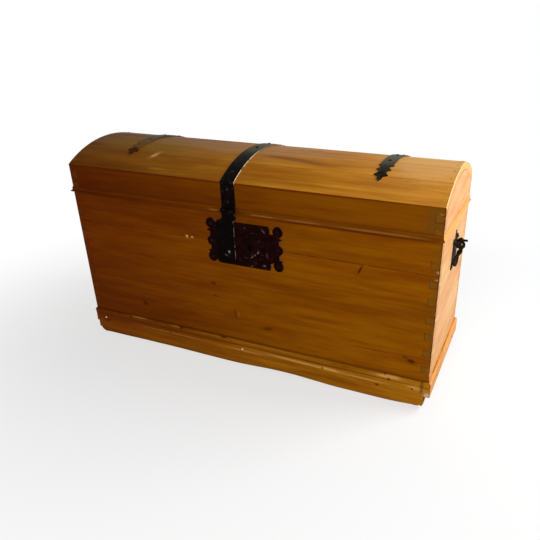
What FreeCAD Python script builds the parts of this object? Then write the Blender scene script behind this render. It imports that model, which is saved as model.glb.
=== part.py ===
import FreeCAD, Part
import math
import os

# Sea chest with a domed lid. Millimetres, +Z up, +X to the right, +Y to the back.
# The origin is on the floor, under the middle of the chest.

Vec = FreeCAD.Vector
UP = Vec(0, 0, 1)
FRONT = Vec(0, -1, 0)
BACK = Vec(0, 1, 0)

# ---------------------------------------------------------------- driving sizes
# Box of the chest
body_length = 1100.0
body_depth = 385.0
joint_height = 470.0
board_thickness = 22.0
bottom_thickness = 18.0
front_seam_drop = 86.0

# Dovetailed corners
pin_pitch = 48.0
pin_width = 14.0
pin_slope = 1 / 6
back_seam_pitches = 2
end_seam_pitches = 3

# Base
runner_height = 41.0
runner_width = 52.0
runner_proud = 3.0
runner_end_setback = 7.0
runner_corner_radius = 22.0
plinth_height = 44.0
plinth_thickness = 8.0
plinth_top_round = 5.0
plinth_bottom_round = 2.5

# Lid
lid_side_height = 81.0
lid_rise = 60.0
stave_thickness = 18.0
stave_count = 5
bead_height = 15.0
bead_projection = 6.5
bead_round = 5.5
lid_pin_count = 2
lid_pin_pitch = 34.0
lid_first_pin = 20.0

# Ironwork
iron_thickness = 3.0
handle_plate_thickness = 2.5
centre_strap_x = -15.0
centre_strap_width = 41.0
hinge_strap_inset = 178.0
hinge_strap_width = 34.0
centre_strap_reach = 70.0
hinge_strap_reach = 65.0
hinge_leaf_length = 92.0
strap_gap_in_bead = 0.8

# Hinge barrels, shared by the lid hinges and the hasp
barrel_radius = 6.0
hinge_pin_radius = 3.0
pin_clearance = 0.05
barrel_gap = 0.4
knuckle_gap = 0.4
leaf_clearance = 1.0
pin_burr_length = 1.0
pin_burr_radius = 4.2

# Hasp
hasp_thickness = 3.5
hasp_gap = 0.3
hasp_flare = 22.5
hasp_inset = 6.5
hasp_bottom_margin = 5.0
hasp_neck_drop = 14.0
hasp_shoulder_drop = 30.0
hasp_corner_radius = 5.0
staple_offset = 7.0
staple_drop = 24.5
staple_width = 6.0
staple_height = 21.0
staple_bar = 2.8
staple_tip_gap = 0.6
staple_side_clearance = 1.2
staple_bottom_clearance = 2.5
rivet_radius = 3.0
rivet_head_radius = 6.0
rivet_head_height = 2.0

# Lock plate, measured from its middle
plate_offset = 38.0
plate_drop = 84.5
plate_half_width = 82.0
plate_half_height = 61.5
lobe_x = 104.0
lobe_z = 50.0
lobe_radius = 13.0
wing_half_height = 42.0
wing_edge = 108.0
middle_lobe_radius = 14.0
barb_length = 11.0
barb_z = 30.0
barb_half_height = 6.0
notch_radius = 8.5
keyhole_offset = 19.0
keyhole_radius = 4.5
keyhole_slot_width = 4.4
keyhole_slot_length = 14.0

# Lock
case_depth = 14.0
case_wall = 2.0
case_left_of_staple = 16.0
case_right_of_keyhole = 38.0
case_below_staple = 21.0
case_above_keyhole = 32.0
bolt_height = 12.0
bolt_thickness = 5.5
bolt_nose_gap = 1.5
bolt_past_keyhole = 18.0
bolt_clearance = 0.2
staple_eye_clearance = 1.0
talon_width = 12.0
talon_depth = 4.0
guide_width = 9.0
guide_height = 6.0
spring_thickness = 0.8
spring_rise = 8.0
spring_reach = 26.0

# Handles at the two ends
handle_pivot_drop = 64.0
handle_pivot_out = 12.0
handle_plate_width = 64.0
handle_plate_height = 78.0
handle_plate_drop = 26.0
handle_lobe_radius = 8.0
handle_spike_width = 14.0
handle_spike_height = 22.0
eye_spacing = 32.0
eye_thickness = 5.0
eye_radius = 8.0
eye_hole_radius = 3.6
eye_shank = 6.0
eye_leg_length = 20.0
eye_leg_thickness = 2.5
bail_pin_radius = 3.2
bail_pin_overhang = 2.0
bail_arm_radius = 4.0
bail_grip_radius = 5.0
bail_side_gap = 0.5
bail_boss_radius = 6.0
bail_tip_out = 30.0
bail_tip_radius = 3.0
bail_bulge_out = 24.0
bail_bulge_drop = 12.0
bail_plate_gap = 0.3
bail_lower_drop = 36.0
bail_drop = 59.0
bail_bend_radius = 10.0

# Nails
nail_shank = 3.2
nail_length = 16.0
nail_head_radius = 5.0
nail_head_height = 2.4
small_head_radius = 3.2
small_head_height = 1.0
stave_nail_length = 32.0
stave_nails_per_end = 2
plinth_nail_count = 5
plinth_nail_end_margin = 40.0
plinth_nail_rise = 17.0
leaf_nail_count = 3
strap_nail_count = 5
lid_side_nail_count = 2
plate_top_nail_x = 4.0
plate_bottom_nail_x = 58.0
plate_edge_nail_margin = 6.0

# Tolerance for telling which edges of a solid lie on one of its outer faces
near_enough = 0.1

# ---------------------------------------------------------------- derived places
half_length = body_length / 2
half_depth = body_depth / 2
inner_x = half_length - board_thickness
inner_y = half_depth - board_thickness
wall_bottom = runner_height
front_seam_height = joint_height - front_seam_drop
back_seam_height = front_seam_height - back_seam_pitches * pin_pitch
end_seam_height = front_seam_height - end_seam_pitches * pin_pitch

crease_height = joint_height + lid_side_height
crown_height = crease_height + lid_rise
dome_radius = (half_depth ** 2 + lid_rise ** 2) / (2 * lid_rise)
dome_inner_radius = dome_radius - stave_thickness
dome_axis_z = crown_height - dome_radius
dome_half_angle = math.asin(half_depth / dome_radius)
strap_radius = dome_radius + iron_thickness

pin_flare = pin_slope * board_thickness
wall_pin_top = front_seam_height + pin_pitch / 2
wall_pin_count = int((wall_pin_top - wall_bottom - pin_width) // pin_pitch) + 1
wall_pins = [wall_pin_top - index * pin_pitch for index in range(wall_pin_count)]
lid_pins = [joint_height + lid_first_pin + index * lid_pin_pitch for index in range(lid_pin_count)]

strap_outer_y = half_depth + iron_thickness
hinge_strap_offset = half_length - hinge_strap_inset
barrel_axis_y = half_depth + barrel_gap + barrel_radius
hasp_axis_z = joint_height + bead_height / 2
hasp_back_y = -(strap_outer_y + hasp_gap)
hasp_front_y = hasp_back_y - hasp_thickness
hasp_axis_y = -barrel_axis_y

plate_x = centre_strap_x + plate_offset
plate_z = joint_height - plate_drop
plate_bottom = plate_z - plate_half_height
plate_top = plate_z + plate_half_height
strap_left = centre_strap_x - centre_strap_width / 2
strap_right = centre_strap_x + centre_strap_width / 2
hasp_left = strap_left - hasp_flare
hasp_right = strap_right - hasp_inset
hasp_bottom = plate_bottom + hasp_bottom_margin
hasp_neck_bottom = joint_height - hasp_neck_drop
hasp_shoulder = joint_height - hasp_shoulder_drop

staple_x = centre_strap_x - staple_offset
staple_z = plate_z - staple_drop
keyhole_x = plate_x + keyhole_offset
keyhole_z = plate_z
case_x = (staple_x - case_left_of_staple, keyhole_x + case_right_of_keyhole)
case_z = (staple_z - case_below_staple, keyhole_z + case_above_keyhole)
case_floor_y = -half_depth + case_depth - case_wall
staple_tip_y = case_floor_y - staple_tip_gap
bolt_y = (staple_tip_y - staple_bar - staple_eye_clearance - bolt_thickness,
          staple_tip_y - staple_bar - staple_eye_clearance)
bolt_z = (staple_z - bolt_height / 2, staple_z + bolt_height / 2)
bolt_end_x = keyhole_x + bolt_past_keyhole

end_face = half_length + handle_plate_thickness
handle_pivot_z = joint_height - handle_pivot_drop
pivot_x = half_length + handle_pivot_out
plate_mid_z = handle_pivot_z - handle_plate_drop
bail_lower_out = handle_plate_thickness + bail_plate_gap + bail_grip_radius
eye_y = eye_spacing / 2
arm_y = eye_y + eye_thickness / 2 + bail_side_gap + bail_arm_radius


# ---------------------------------------------------------------- shape helpers
def box(x, y, z):
    """Box between the two values in each of x, y and z."""
    low = Vec(min(x), min(y), min(z))
    return Part.makeBox(abs(x[1] - x[0]), abs(y[1] - y[0]), abs(z[1] - z[0]), low)


def rod(start, end, radius):
    """Round bar from start to end."""
    return Part.makeCylinder(radius, (end - start).Length, start, end - start)


def prism(corners, sweep):
    """Polygon through the corners, swept along a vector."""
    return Part.Face(Part.makePolygon(corners + corners[:1])).extrude(sweep)


def plate_xz(outline, y_from, y_to):
    """Flat piece that faces the front: outline in (x, z), from y_from to y_to."""
    return prism([Vec(x, y_from, z) for x, z in outline], Vec(0, y_to - y_from, 0))


def fuse(pieces):
    """One clean solid from pieces that touch or overlap."""
    return pieces[0].multiFuse(pieces[1:]).removeSplitter()


def carve(shape, tools):
    """Shape with every tool cut out of it."""
    return shape.cut(tools).removeSplitter() if tools else shape


def round_edges(shape, radius, wanted):
    """Shape with the edges that the test picks rounded off."""
    return shape.makeFillet(radius, [edge for edge in shape.Edges if wanted(edge.BoundBox)])


def aim(shape, position, direction):
    """Copy of a shape made along +Z, turned to face a direction and moved to a place."""
    placed = shape.copy()
    placed.Placement = FreeCAD.Placement(position, FreeCAD.Rotation(UP, direction))
    return placed


def dome_point(radius, angle, x=0.0):
    """Point of the dome's cross-section; the angle is 0 at the crown, positive to the back."""
    return Vec(x, radius * math.sin(angle), dome_axis_z + radius * math.cos(angle))


def dome_normal(angle):
    return Vec(0, math.sin(angle), math.cos(angle))


def dome_sector(inner, outer, angles, x):
    """Part of a shell round the dome's axis, between two angles and two places along X."""
    start, end = angles
    middle = (start + end) / 2
    outer_arc = Part.Arc(*[dome_point(outer, a, x[0]) for a in (start, middle, end)]).toShape()
    inner_arc = Part.Arc(*[dome_point(inner, a, x[0]) for a in (end, middle, start)]).toShape()
    end_side = Part.makeLine(dome_point(outer, end, x[0]), dome_point(inner, end, x[0]))
    start_side = Part.makeLine(dome_point(inner, start, x[0]), dome_point(outer, start, x[0]))
    face = Part.Face(Part.Wire([outer_arc, end_side, inner_arc, start_side]))
    return face.extrude(Vec(x[1] - x[0], 0, 0))


def mirrored_x(shape):
    return shape.mirror(Vec(0, 0, 0), Vec(1, 0, 0))


def spread(low, high, count):
    """Values spaced evenly between low and high, half a step in from each."""
    return [low + (index + 0.5) * (high - low) / count for index in range(count)]


# ---------------------------------------------------------------- nails
def nail(length, head_radius, head_height):
    """Forged nail: its head stands on z = 0 and its square shank points down."""
    head = Part.makeCone(head_radius, head_radius / 2, head_height)
    shank = box((-nail_shank / 2, nail_shank / 2), (-nail_shank / 2, nail_shank / 2), (-length, 0))
    return fuse([head, shank])


def nail_hole(length):
    return box((-nail_shank / 2, nail_shank / 2), (-nail_shank / 2, nail_shank / 2), (-length, 0))


class NailGroup:
    """Nails of one kind that hold one piece, and the holes that they leave."""

    def __init__(self, places, length=nail_length, head=(nail_head_radius, nail_head_height)):
        self.solids = [aim(nail(length, *head), *place) for place in places]
        self.holes = [aim(nail_hole(length), *place) for place in places]

    def node(self):
        return Part.makeCompound(self.solids)


# ---------------------------------------------------------------- dovetails
def corner_pins(heights, y_side):
    """Dovetail pins of the right end that pass through the front or back wall."""
    near = pin_width / 2
    far = near + pin_flare
    pins = []
    for height in heights:
        outline = [(inner_x, height - far), (half_length, height - near),
                   (half_length, height + near), (inner_x, height + far)]
        pins.append(plate_xz(outline, y_side * inner_y, y_side * half_depth))
    return pins


def pins_between(heights, low, high):
    return [height for height in heights if low < height < high]


def long_wall(y_side, low, high, heights):
    """Front or back board with sockets for the pins at both of its ends."""
    board = box((-half_length, half_length), (y_side * inner_y, y_side * half_depth), (low, high))
    right_pins = corner_pins(pins_between(heights, low, high), y_side)
    return carve(board, right_pins + [mirrored_x(pin) for pin in right_pins])


def end_wall(low, high, heights):
    """Right end board with its pins; it fits between the front and back walls."""
    board = box((inner_x, half_length), (-inner_y, inner_y), (low, high))
    inside = pins_between(heights, low, high)
    return fuse([board] + corner_pins(inside, -1) + corner_pins(inside, 1))


# ---------------------------------------------------------------- mouldings
def front_strip(projection, low, high, x_from, x_to, mitre_from, mitre_to):
    """Strip along the front; a mitred end grows by the projection at its outer side."""
    outline = [Vec(x_from, -half_depth, low), Vec(x_to, -half_depth, low),
               Vec(x_to + mitre_to * projection, -half_depth - projection, low),
               Vec(x_from - mitre_from * projection, -half_depth - projection, low)]
    return prism(outline, Vec(0, 0, high - low))


def side_strip(projection, low, high):
    """Strip along the right end, mitred at the front and square at the back."""
    outline = [Vec(half_length, -half_depth, low), Vec(half_length, half_depth, low),
               Vec(half_length + projection, half_depth, low),
               Vec(half_length + projection, -half_depth - projection, low)]
    return prism(outline, Vec(0, 0, high - low))


def round_strip(strip, high_radius, low_radius, outer):
    """Strip with its outer top and bottom edges rounded."""
    low, high = strip.BoundBox.ZMin, strip.BoundBox.ZMax
    top = round_edges(strip, high_radius, lambda b: outer(b) and b.ZMin > high - near_enough)
    return round_edges(top, low_radius, lambda b: outer(b) and b.ZMax < low + near_enough)


def on_front(projection):
    face = -half_depth - projection
    return lambda b: b.YMax < face + near_enough and b.XLength > board_thickness


def on_right(projection):
    face = half_length + projection
    return lambda b: b.XMin > face - near_enough and b.YLength > board_thickness


# ---------------------------------------------------------------- strap ironwork
# Half of the barbed finial of a 34 mm strap: distance towards the tip, and half width there
FINIAL = [(0, 17), (4, 20), (10, 11), (22, 13), (28, 19), (32, 10), (44, 11), (52, 18), (56, 8),
          (66, 6), (73, 2)]
FINIAL_LENGTH = FINIAL[-1][0]


def finial(x_centre, y_start, direction, width):
    """Barbed end of a strap, seen from above: (distance to the tip, half width) on both sides."""
    scale = width / (2 * FINIAL[0][1])
    side = [(y_start + direction * run, half * scale) for run, half in FINIAL]
    left = [Vec(x_centre - half, y, crease_height) for y, half in side]
    right = [Vec(x_centre + half, y, crease_height) for y, half in reversed(side)]
    return prism(left + right, Vec(0, 0, 2 * lid_rise))


def strap_on_dome(x_centre, width, angles):
    x = (x_centre - width / 2, x_centre + width / 2)
    return dome_sector(dome_radius, strap_radius, angles, x)


def finial_on_dome(x_centre, width, angle, direction):
    """Barbed finial of a strap, bent to the dome, from the angle where the strap ends."""
    y_start = dome_radius * math.sin(angle)
    reach = (angle, direction * dome_half_angle)
    x = (x_centre - width, x_centre + width)
    shell = dome_sector(dome_radius, strap_radius, (min(reach), max(reach)), x)
    return shell.common(finial(x_centre, y_start, direction, width))


def strap_bend(x_centre, width, y_side):
    """Corner of a strap where it leaves the dome and turns down the upright board."""
    crease = y_side * half_depth
    outer_y = y_side * strap_outer_y
    edge = dome_point(strap_radius, y_side * dome_half_angle)
    fall = abs(outer_y - edge.y) * math.tan(dome_half_angle)
    corners = [(crease, crease_height), (outer_y, crease_height),
               (outer_y, edge.z - fall), (edge.y, edge.z)]
    x_start = x_centre - width / 2
    return prism([Vec(x_start, y, z) for y, z in corners], Vec(width, 0, 0))


def upright_strap(x_centre, width, y_side, low, high):
    x = (x_centre - width / 2, x_centre + width / 2)
    return box(x, (y_side * half_depth, y_side * strap_outer_y), (low, high))


def knuckle_spans(x_centre, width):
    """The three knuckles of a barrel, from left to right."""
    edge = width / 2
    inner = edge / 3
    half_gap = knuckle_gap / 2
    return [(x_centre - edge, x_centre - inner - half_gap),
            (x_centre - inner + half_gap, x_centre + inner - half_gap),
            (x_centre + inner + half_gap, x_centre + edge)]


def barrel(span, y_axis, z_axis):
    return rod(Vec(span[0], y_axis, z_axis), Vec(span[1], y_axis, z_axis), barrel_radius)


def pin_bore(x_centre, width, y_axis, z_axis):
    radius = hinge_pin_radius + pin_clearance
    return rod(Vec(x_centre - width, y_axis, z_axis), Vec(x_centre + width, y_axis, z_axis), radius)


def hinge_pin(x_centre, width, y_axis, z_axis):
    """Pin of a barrel, with its two ends burred over."""
    edge = width / 2 + pin_clearance
    start = Vec(x_centre - edge, y_axis, z_axis)
    end = Vec(x_centre + edge, y_axis, z_axis)
    burr = Vec(pin_burr_length, 0, 0)
    return fuse([rod(start, end, hinge_pin_radius), rod(start - burr, start, pin_burr_radius),
                 rod(end, end + burr, pin_burr_radius)])


def knuckle_relief(span, y_side, z_axis, above):
    """Room in an upright leaf for a knuckle of the other leaf."""
    reach = barrel_radius + leaf_clearance
    x = (span[0] - knuckle_gap, span[1] + knuckle_gap)
    y = (y_side * (half_depth - barrel_gap), y_side * (strap_outer_y + barrel_gap))
    z = (z_axis - reach, z_axis + reach)
    return box(x, y, (z[0] if above else z_axis - 2 * reach, z[1] if above else z_axis + reach))


# ---------------------------------------------------------------- chest walls, bottom and base
def lock_recess():
    """Space cut in the front boards for the lock's case and for the staple's way up."""
    depth = (-half_depth, -half_depth + case_depth)
    case = box(case_x, depth, case_z)
    groove_half = staple_width / 2 + staple_side_clearance
    groove = box((staple_x - groove_half, staple_x + groove_half),
                 (-half_depth, case_floor_y), (case_z[1], joint_height))
    return [case, groove]


front_lower_board = carve(long_wall(-1, wall_bottom, front_seam_height, wall_pins), lock_recess())
front_upper_board = carve(long_wall(-1, front_seam_height, joint_height, wall_pins), lock_recess())
back_lower_board = long_wall(1, wall_bottom, back_seam_height, wall_pins)
back_upper_board = long_wall(1, back_seam_height, joint_height, wall_pins)
end_lower_board = end_wall(wall_bottom, end_seam_height, wall_pins)
end_upper_board = end_wall(end_seam_height, joint_height, wall_pins)

bottom_z = (wall_bottom, wall_bottom + bottom_thickness)
bottom_front_board = box((-inner_x, inner_x), (-inner_y, 0), bottom_z)
bottom_rear_board = box((-inner_x, inner_x), (0, inner_y), bottom_z)


def runner(y_from, y_to):
    """Floor runner under a long wall, with its two lower corners worn round."""
    reach = half_length - runner_end_setback
    block = box((-reach, reach), (y_from, y_to), (0, runner_height))
    return round_edges(block, runner_corner_radius,
                       lambda b: b.ZMax < near_enough and b.XLength < near_enough)


front_runner = runner(-half_depth - runner_proud, -half_depth + runner_width)
rear_runner = runner(half_depth - runner_width, half_depth)

plinth_top = runner_height + plinth_height
front_plinth = round_strip(
    front_strip(plinth_thickness, runner_height, plinth_top, -half_length, half_length, 1, 1),
    plinth_top_round, plinth_bottom_round, on_front(plinth_thickness))
right_plinth = round_strip(side_strip(plinth_thickness, runner_height, plinth_top),
                           plinth_top_round, plinth_bottom_round, on_right(plinth_thickness))

# Plinth nails: evenly along the front and two on each end strip
plinth_nail_z = runner_height + plinth_nail_rise
plinth_span = 2 * (half_length - plinth_nail_end_margin)
plinth_front_places = [
    (Vec(-plinth_span / 2 + index * plinth_span / (plinth_nail_count - 1),
         -half_depth - plinth_thickness, plinth_nail_z), FRONT)
    for index in range(plinth_nail_count)]
plinth_side_places = [
    (Vec(side * (half_length + plinth_thickness), end * (half_depth - 2 * plinth_nail_end_margin),
         plinth_nail_z), Vec(side, 0, 0))
    for side in (-1, 1) for end in (-1, 1)]
small_head = (small_head_radius, small_head_height)
plinth_nails = NailGroup(plinth_front_places + plinth_side_places, head=small_head)

# ---------------------------------------------------------------- lid woodwork
stave_step = 2 * dome_half_angle / stave_count
lid_x = (-half_length, half_length)
dome_seat = dome_sector(dome_inner_radius, dome_radius, (-dome_half_angle, dome_half_angle), lid_x)
staves = [
    dome_sector(dome_inner_radius, dome_radius,
                (-dome_half_angle + index * stave_step, -dome_half_angle + (index + 1) * stave_step),
                lid_x)
    for index in range(stave_count)]
lid_front_board = carve(long_wall(-1, joint_height, crease_height, lid_pins), [dome_seat])
lid_back_board = carve(long_wall(1, joint_height, crease_height, lid_pins), [dome_seat])


def lid_end():
    """D-shaped right end of the lid, under the ends of the staves."""
    edge_angle = math.asin(inner_y / dome_inner_radius)
    arc = Part.Arc(*[dome_point(dome_inner_radius, a, inner_x)
                     for a in (-edge_angle, 0, edge_angle)]).toShape()
    foot_front = Vec(inner_x, -inner_y, joint_height)
    foot_back = Vec(inner_x, inner_y, joint_height)
    sides = [Part.makeLine(dome_point(dome_inner_radius, edge_angle, inner_x), foot_back),
             Part.makeLine(foot_back, foot_front),
             Part.makeLine(foot_front, dome_point(dome_inner_radius, -edge_angle, inner_x))]
    board = Part.Face(Part.Wire([arc] + sides)).extrude(Vec(board_thickness, 0, 0))
    return fuse([board] + corner_pins(lid_pins, -1) + corner_pins(lid_pins, 1))


lid_right_end = lid_end()

# Bead round the lid's lower edge; the front one is cut where the centre strap passes
bead_top = joint_height + bead_height
strap_room = centre_strap_width / 2 + pin_burr_length + strap_gap_in_bead
front_bead_left = round_strip(
    front_strip(bead_projection, joint_height, bead_top, -half_length, centre_strap_x - strap_room,
                1, 0),
    bead_round, bead_round, on_front(bead_projection))
front_bead_right = round_strip(
    front_strip(bead_projection, joint_height, bead_top, centre_strap_x + strap_room, half_length,
                0, 1),
    bead_round, bead_round, on_front(bead_projection))
right_bead = round_strip(side_strip(bead_projection, joint_height, bead_top),
                         bead_round, bead_round, on_right(bead_projection))

# Nails through the stave ends into the lid's end boards
stave_nail_x = half_length - board_thickness / 2
stave_nail_angles = spread(-dome_half_angle, dome_half_angle, stave_count * stave_nails_per_end)
stave_nail_places = [(dome_point(dome_radius, angle, side * stave_nail_x), dome_normal(angle))
                     for side in (-1, 1) for angle in stave_nail_angles]
stave_nails = NailGroup(stave_nail_places, stave_nail_length, small_head)

# ---------------------------------------------------------------- lid hinges
back_spans = knuckle_spans(hinge_strap_offset, hinge_strap_width)
hinge_bore = pin_bore(hinge_strap_offset, hinge_strap_width, barrel_axis_y, joint_height)


def hinge_strap():
    """Right lid strap: barbed finial, dome, bend, back board and middle knuckle."""
    start = -math.asin(hinge_strap_reach / dome_radius)
    upright = upright_strap(hinge_strap_offset, hinge_strap_width, 1, joint_height, crease_height)
    for span in (back_spans[0], back_spans[2]):
        upright = upright.cut(knuckle_relief(span, 1, joint_height, True))
    pieces = [finial_on_dome(hinge_strap_offset, hinge_strap_width, start, -1),
              strap_on_dome(hinge_strap_offset, hinge_strap_width, (start, dome_half_angle)),
              strap_bend(hinge_strap_offset, hinge_strap_width, 1), upright,
              barrel(back_spans[1], barrel_axis_y, joint_height)]
    return carve(fuse(pieces), [hinge_bore])


def hinge_leaf():
    """Right leaf on the chest's back, with the two outer knuckles."""
    upright = upright_strap(hinge_strap_offset, hinge_strap_width, 1,
                            joint_height - hinge_leaf_length, joint_height)
    upright = upright.cut(knuckle_relief(back_spans[1], 1, joint_height, False))
    knuckles = [barrel(span, barrel_axis_y, joint_height) for span in (back_spans[0], back_spans[2])]
    return carve(fuse([upright] + knuckles), [hinge_bore])


right_hinge_pin = hinge_pin(hinge_strap_offset, hinge_strap_width, barrel_axis_y, joint_height)

upright_nail_z = (joint_height + crease_height) / 2 + barrel_radius


def dome_nail_places(x, radius, angles):
    return [(dome_point(radius, angle, x), dome_normal(angle)) for angle in angles]


hinge_nail_angles = spread(-math.asin((hinge_strap_reach + FINIAL_LENGTH) / dome_radius),
                           dome_half_angle, strap_nail_count)
right_strap_nails = NailGroup(
    dome_nail_places(hinge_strap_offset, strap_radius, hinge_nail_angles)
    + [(Vec(hinge_strap_offset, strap_outer_y, upright_nail_z), BACK)])
left_strap_nails = NailGroup(
    dome_nail_places(-hinge_strap_offset, strap_radius, hinge_nail_angles)
    + [(Vec(-hinge_strap_offset, strap_outer_y, upright_nail_z), BACK)])

leaf_nail_heights = spread(joint_height - hinge_leaf_length,
                           joint_height - barrel_radius - nail_head_radius, leaf_nail_count)
leaf_nails = NailGroup([
    (Vec(side * hinge_strap_offset, strap_outer_y, z), BACK)
    for side in (-1, 1) for z in leaf_nail_heights])

# ---------------------------------------------------------------- centre strap and hasp
front_spans = knuckle_spans(centre_strap_x, centre_strap_width)
hasp_bore = pin_bore(centre_strap_x, centre_strap_width, hasp_axis_y, hasp_axis_z)


def centre_strap():
    """Strap from the hasp's hinge, up the lid's front and over the dome to its finial."""
    end = math.asin(centre_strap_reach / dome_radius)
    upright = upright_strap(centre_strap_x, centre_strap_width, -1, hasp_axis_z, crease_height)
    upright = upright.cut(knuckle_relief(front_spans[1], -1, hasp_axis_z, True))
    pieces = [finial_on_dome(centre_strap_x, centre_strap_width, end, 1),
              strap_on_dome(centre_strap_x, centre_strap_width, (-dome_half_angle, end)),
              strap_bend(centre_strap_x, centre_strap_width, -1), upright,
              barrel(front_spans[0], hasp_axis_y, hasp_axis_z),
              barrel(front_spans[2], hasp_axis_y, hasp_axis_z)]
    return carve(fuse(pieces), [hasp_bore])


hasp_pin = hinge_pin(centre_strap_x, centre_strap_width, hasp_axis_y, hasp_axis_z)
front_nail_heights = spread(hasp_axis_z + barrel_radius, crease_height, lid_side_nail_count)
centre_nail_angles = spread(
    -dome_half_angle, math.asin((centre_strap_reach + FINIAL_LENGTH) / dome_radius),
    strap_nail_count)
centre_strap_nails = NailGroup(
    dome_nail_places(centre_strap_x, strap_radius, centre_nail_angles)
    + [(Vec(centre_strap_x, -strap_outer_y, z), FRONT) for z in front_nail_heights])


def hasp_leaf():
    """Hasp: middle knuckle, neck as wide as the strap, and a leaf that covers the lock's slot."""
    neck_top = hasp_axis_z - barrel_radius - leaf_clearance
    outline = [(strap_left, neck_top), (strap_right, neck_top), (strap_right, hasp_neck_bottom),
               (hasp_right, hasp_neck_bottom - hasp_inset), (hasp_right, hasp_bottom),
               (hasp_left, hasp_bottom), (hasp_left, hasp_shoulder), (strap_left, hasp_neck_bottom)]
    leaf = round_edges(plate_xz(outline, hasp_front_y, hasp_back_y), hasp_corner_radius,
                       lambda b: b.ZMax < hasp_bottom + near_enough and b.YLength > near_enough)
    neck = box(front_spans[1], (hasp_front_y, hasp_back_y), (neck_top, hasp_axis_z))
    solid = fuse([leaf, neck, barrel(front_spans[1], hasp_axis_y, hasp_axis_z)])
    rivet_hole = rod(Vec(staple_x, hasp_front_y, staple_z), Vec(staple_x, hasp_back_y, staple_z),
                     rivet_radius)
    return carve(solid, [hasp_bore, rivet_hole])


def hasp_staple():
    """Staple on the back of the hasp, riveted through it; the lock's bolt passes its eye."""
    half = staple_height / 2
    block = box((staple_x - staple_width / 2, staple_x + staple_width / 2),
                (hasp_back_y, staple_tip_y), (staple_z - half, staple_z + half))
    eye_half = bolt_height / 2 + staple_eye_clearance
    eye = box((staple_x - staple_width, staple_x + staple_width),
              (bolt_y[0] - staple_eye_clearance, bolt_y[1] + staple_eye_clearance),
              (staple_z - eye_half, staple_z + eye_half))
    shank = rod(Vec(staple_x, hasp_front_y, staple_z), Vec(staple_x, hasp_back_y, staple_z),
                rivet_radius)
    head = aim(Part.makeCone(rivet_head_radius, rivet_head_radius / 2, rivet_head_height),
               Vec(staple_x, hasp_front_y, staple_z), FRONT)
    return carve(fuse([block, shank, head]), [eye])


# ---------------------------------------------------------------- lock
def lock_plate():
    """Lock plate: square field, corner lobes on curved necks, and barbed sides."""
    y_span = (-strap_outer_y, -half_depth)
    field = [(-plate_half_width, -plate_half_height), (plate_half_width, -plate_half_height),
             (plate_half_width, plate_half_height), (-plate_half_width, plate_half_height)]
    wings = [(-wing_edge, -wing_half_height), (wing_edge, -wing_half_height),
             (wing_edge, wing_half_height), (-wing_edge, wing_half_height)]
    pieces = []
    for outline in (field, wings):
        pieces.append(plate_xz([(plate_x + x, plate_z + z) for x, z in outline], *y_span))
    notches = []
    for side in (-1, 1):
        centres = [(lobe_x, 0, middle_lobe_radius)]
        centres += [(lobe_x, rise * lobe_z, lobe_radius) for rise in (-1, 1)]
        for x, z, radius in centres:
            start = Vec(plate_x + side * x, y_span[0], plate_z + z)
            pieces.append(rod(start, start + Vec(0, iron_thickness, 0), radius))
        for rise in (-1, 1):
            root = wing_edge - barb_half_height / 2
            barb = [(root, rise * barb_z + barb_half_height),
                    (root, rise * barb_z - barb_half_height), (wing_edge + barb_length, rise * barb_z)]
            pieces.append(plate_xz([(plate_x + side * x, plate_z + z) for x, z in barb], *y_span))
            notch_x = (plate_half_width + lobe_x - lobe_radius) / 2
            start = Vec(plate_x + side * notch_x, y_span[0], plate_z + rise * plate_half_height)
            notches.append(rod(start, start + Vec(0, iron_thickness, 0), notch_radius))
    return carve(fuse(pieces), notches + [keyhole(), staple_slot()])


def keyhole():
    """Keyhole through the plate: a round hole with a slot for the key's bit."""
    start = Vec(keyhole_x, -strap_outer_y, keyhole_z)
    hole = rod(start, start + Vec(0, iron_thickness, 0), keyhole_radius)
    half = keyhole_slot_width / 2
    slot = box((keyhole_x - half, keyhole_x + half), (-strap_outer_y, -half_depth),
               (keyhole_z - keyhole_slot_length, keyhole_z))
    return fuse([hole, slot])


def staple_slot():
    """Slot in the plate, open at its top, that the hasp's staple drops into."""
    half = staple_width / 2 + staple_side_clearance
    low = staple_z - staple_height / 2 - staple_bottom_clearance
    return box((staple_x - half, staple_x + half), (-strap_outer_y, -half_depth),
               (low, plate_top))


def lock_case():
    """Open-fronted iron case behind the plate, with guides for the bolt."""
    outer = box(case_x, (-half_depth, -half_depth + case_depth), case_z)
    inside_x = (case_x[0] + case_wall, case_x[1] - case_wall)
    inside_z = (case_z[0] + case_wall, case_z[1] - case_wall)
    hollow = box(inside_x, (-half_depth, case_floor_y), inside_z)
    groove_half = staple_width / 2 + staple_side_clearance
    way_up = box((staple_x - groove_half, staple_x + groove_half), (-half_depth, case_floor_y),
                 (inside_z[1], case_z[1]))
    guide_y = (bolt_y[0], case_floor_y)
    near_nose = (staple_x + guide_width, staple_x + 2 * guide_width)
    near_tail = (bolt_end_x - 2 * guide_width, bolt_end_x - guide_width)
    below = (inside_z[0], bolt_z[0] - bolt_clearance)
    above = (bolt_z[1] + bolt_clearance, bolt_z[1] + bolt_clearance + guide_height)
    return fuse([outer.cut([hollow, way_up]), box(near_nose, guide_y, below),
                 box(near_tail, guide_y, below), box(near_nose, guide_y, above)])


def lock_bolt():
    """Bolt, drawn back from the staple, with a notch in its top edge for the key."""
    nose = staple_x + staple_width / 2 + bolt_nose_gap
    bar = box((nose, bolt_end_x), bolt_y, bolt_z)
    talon = box((keyhole_x - talon_width / 2, keyhole_x + talon_width / 2), bolt_y,
                (bolt_z[1] - talon_depth, bolt_z[1]))
    return carve(bar, [talon])


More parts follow.
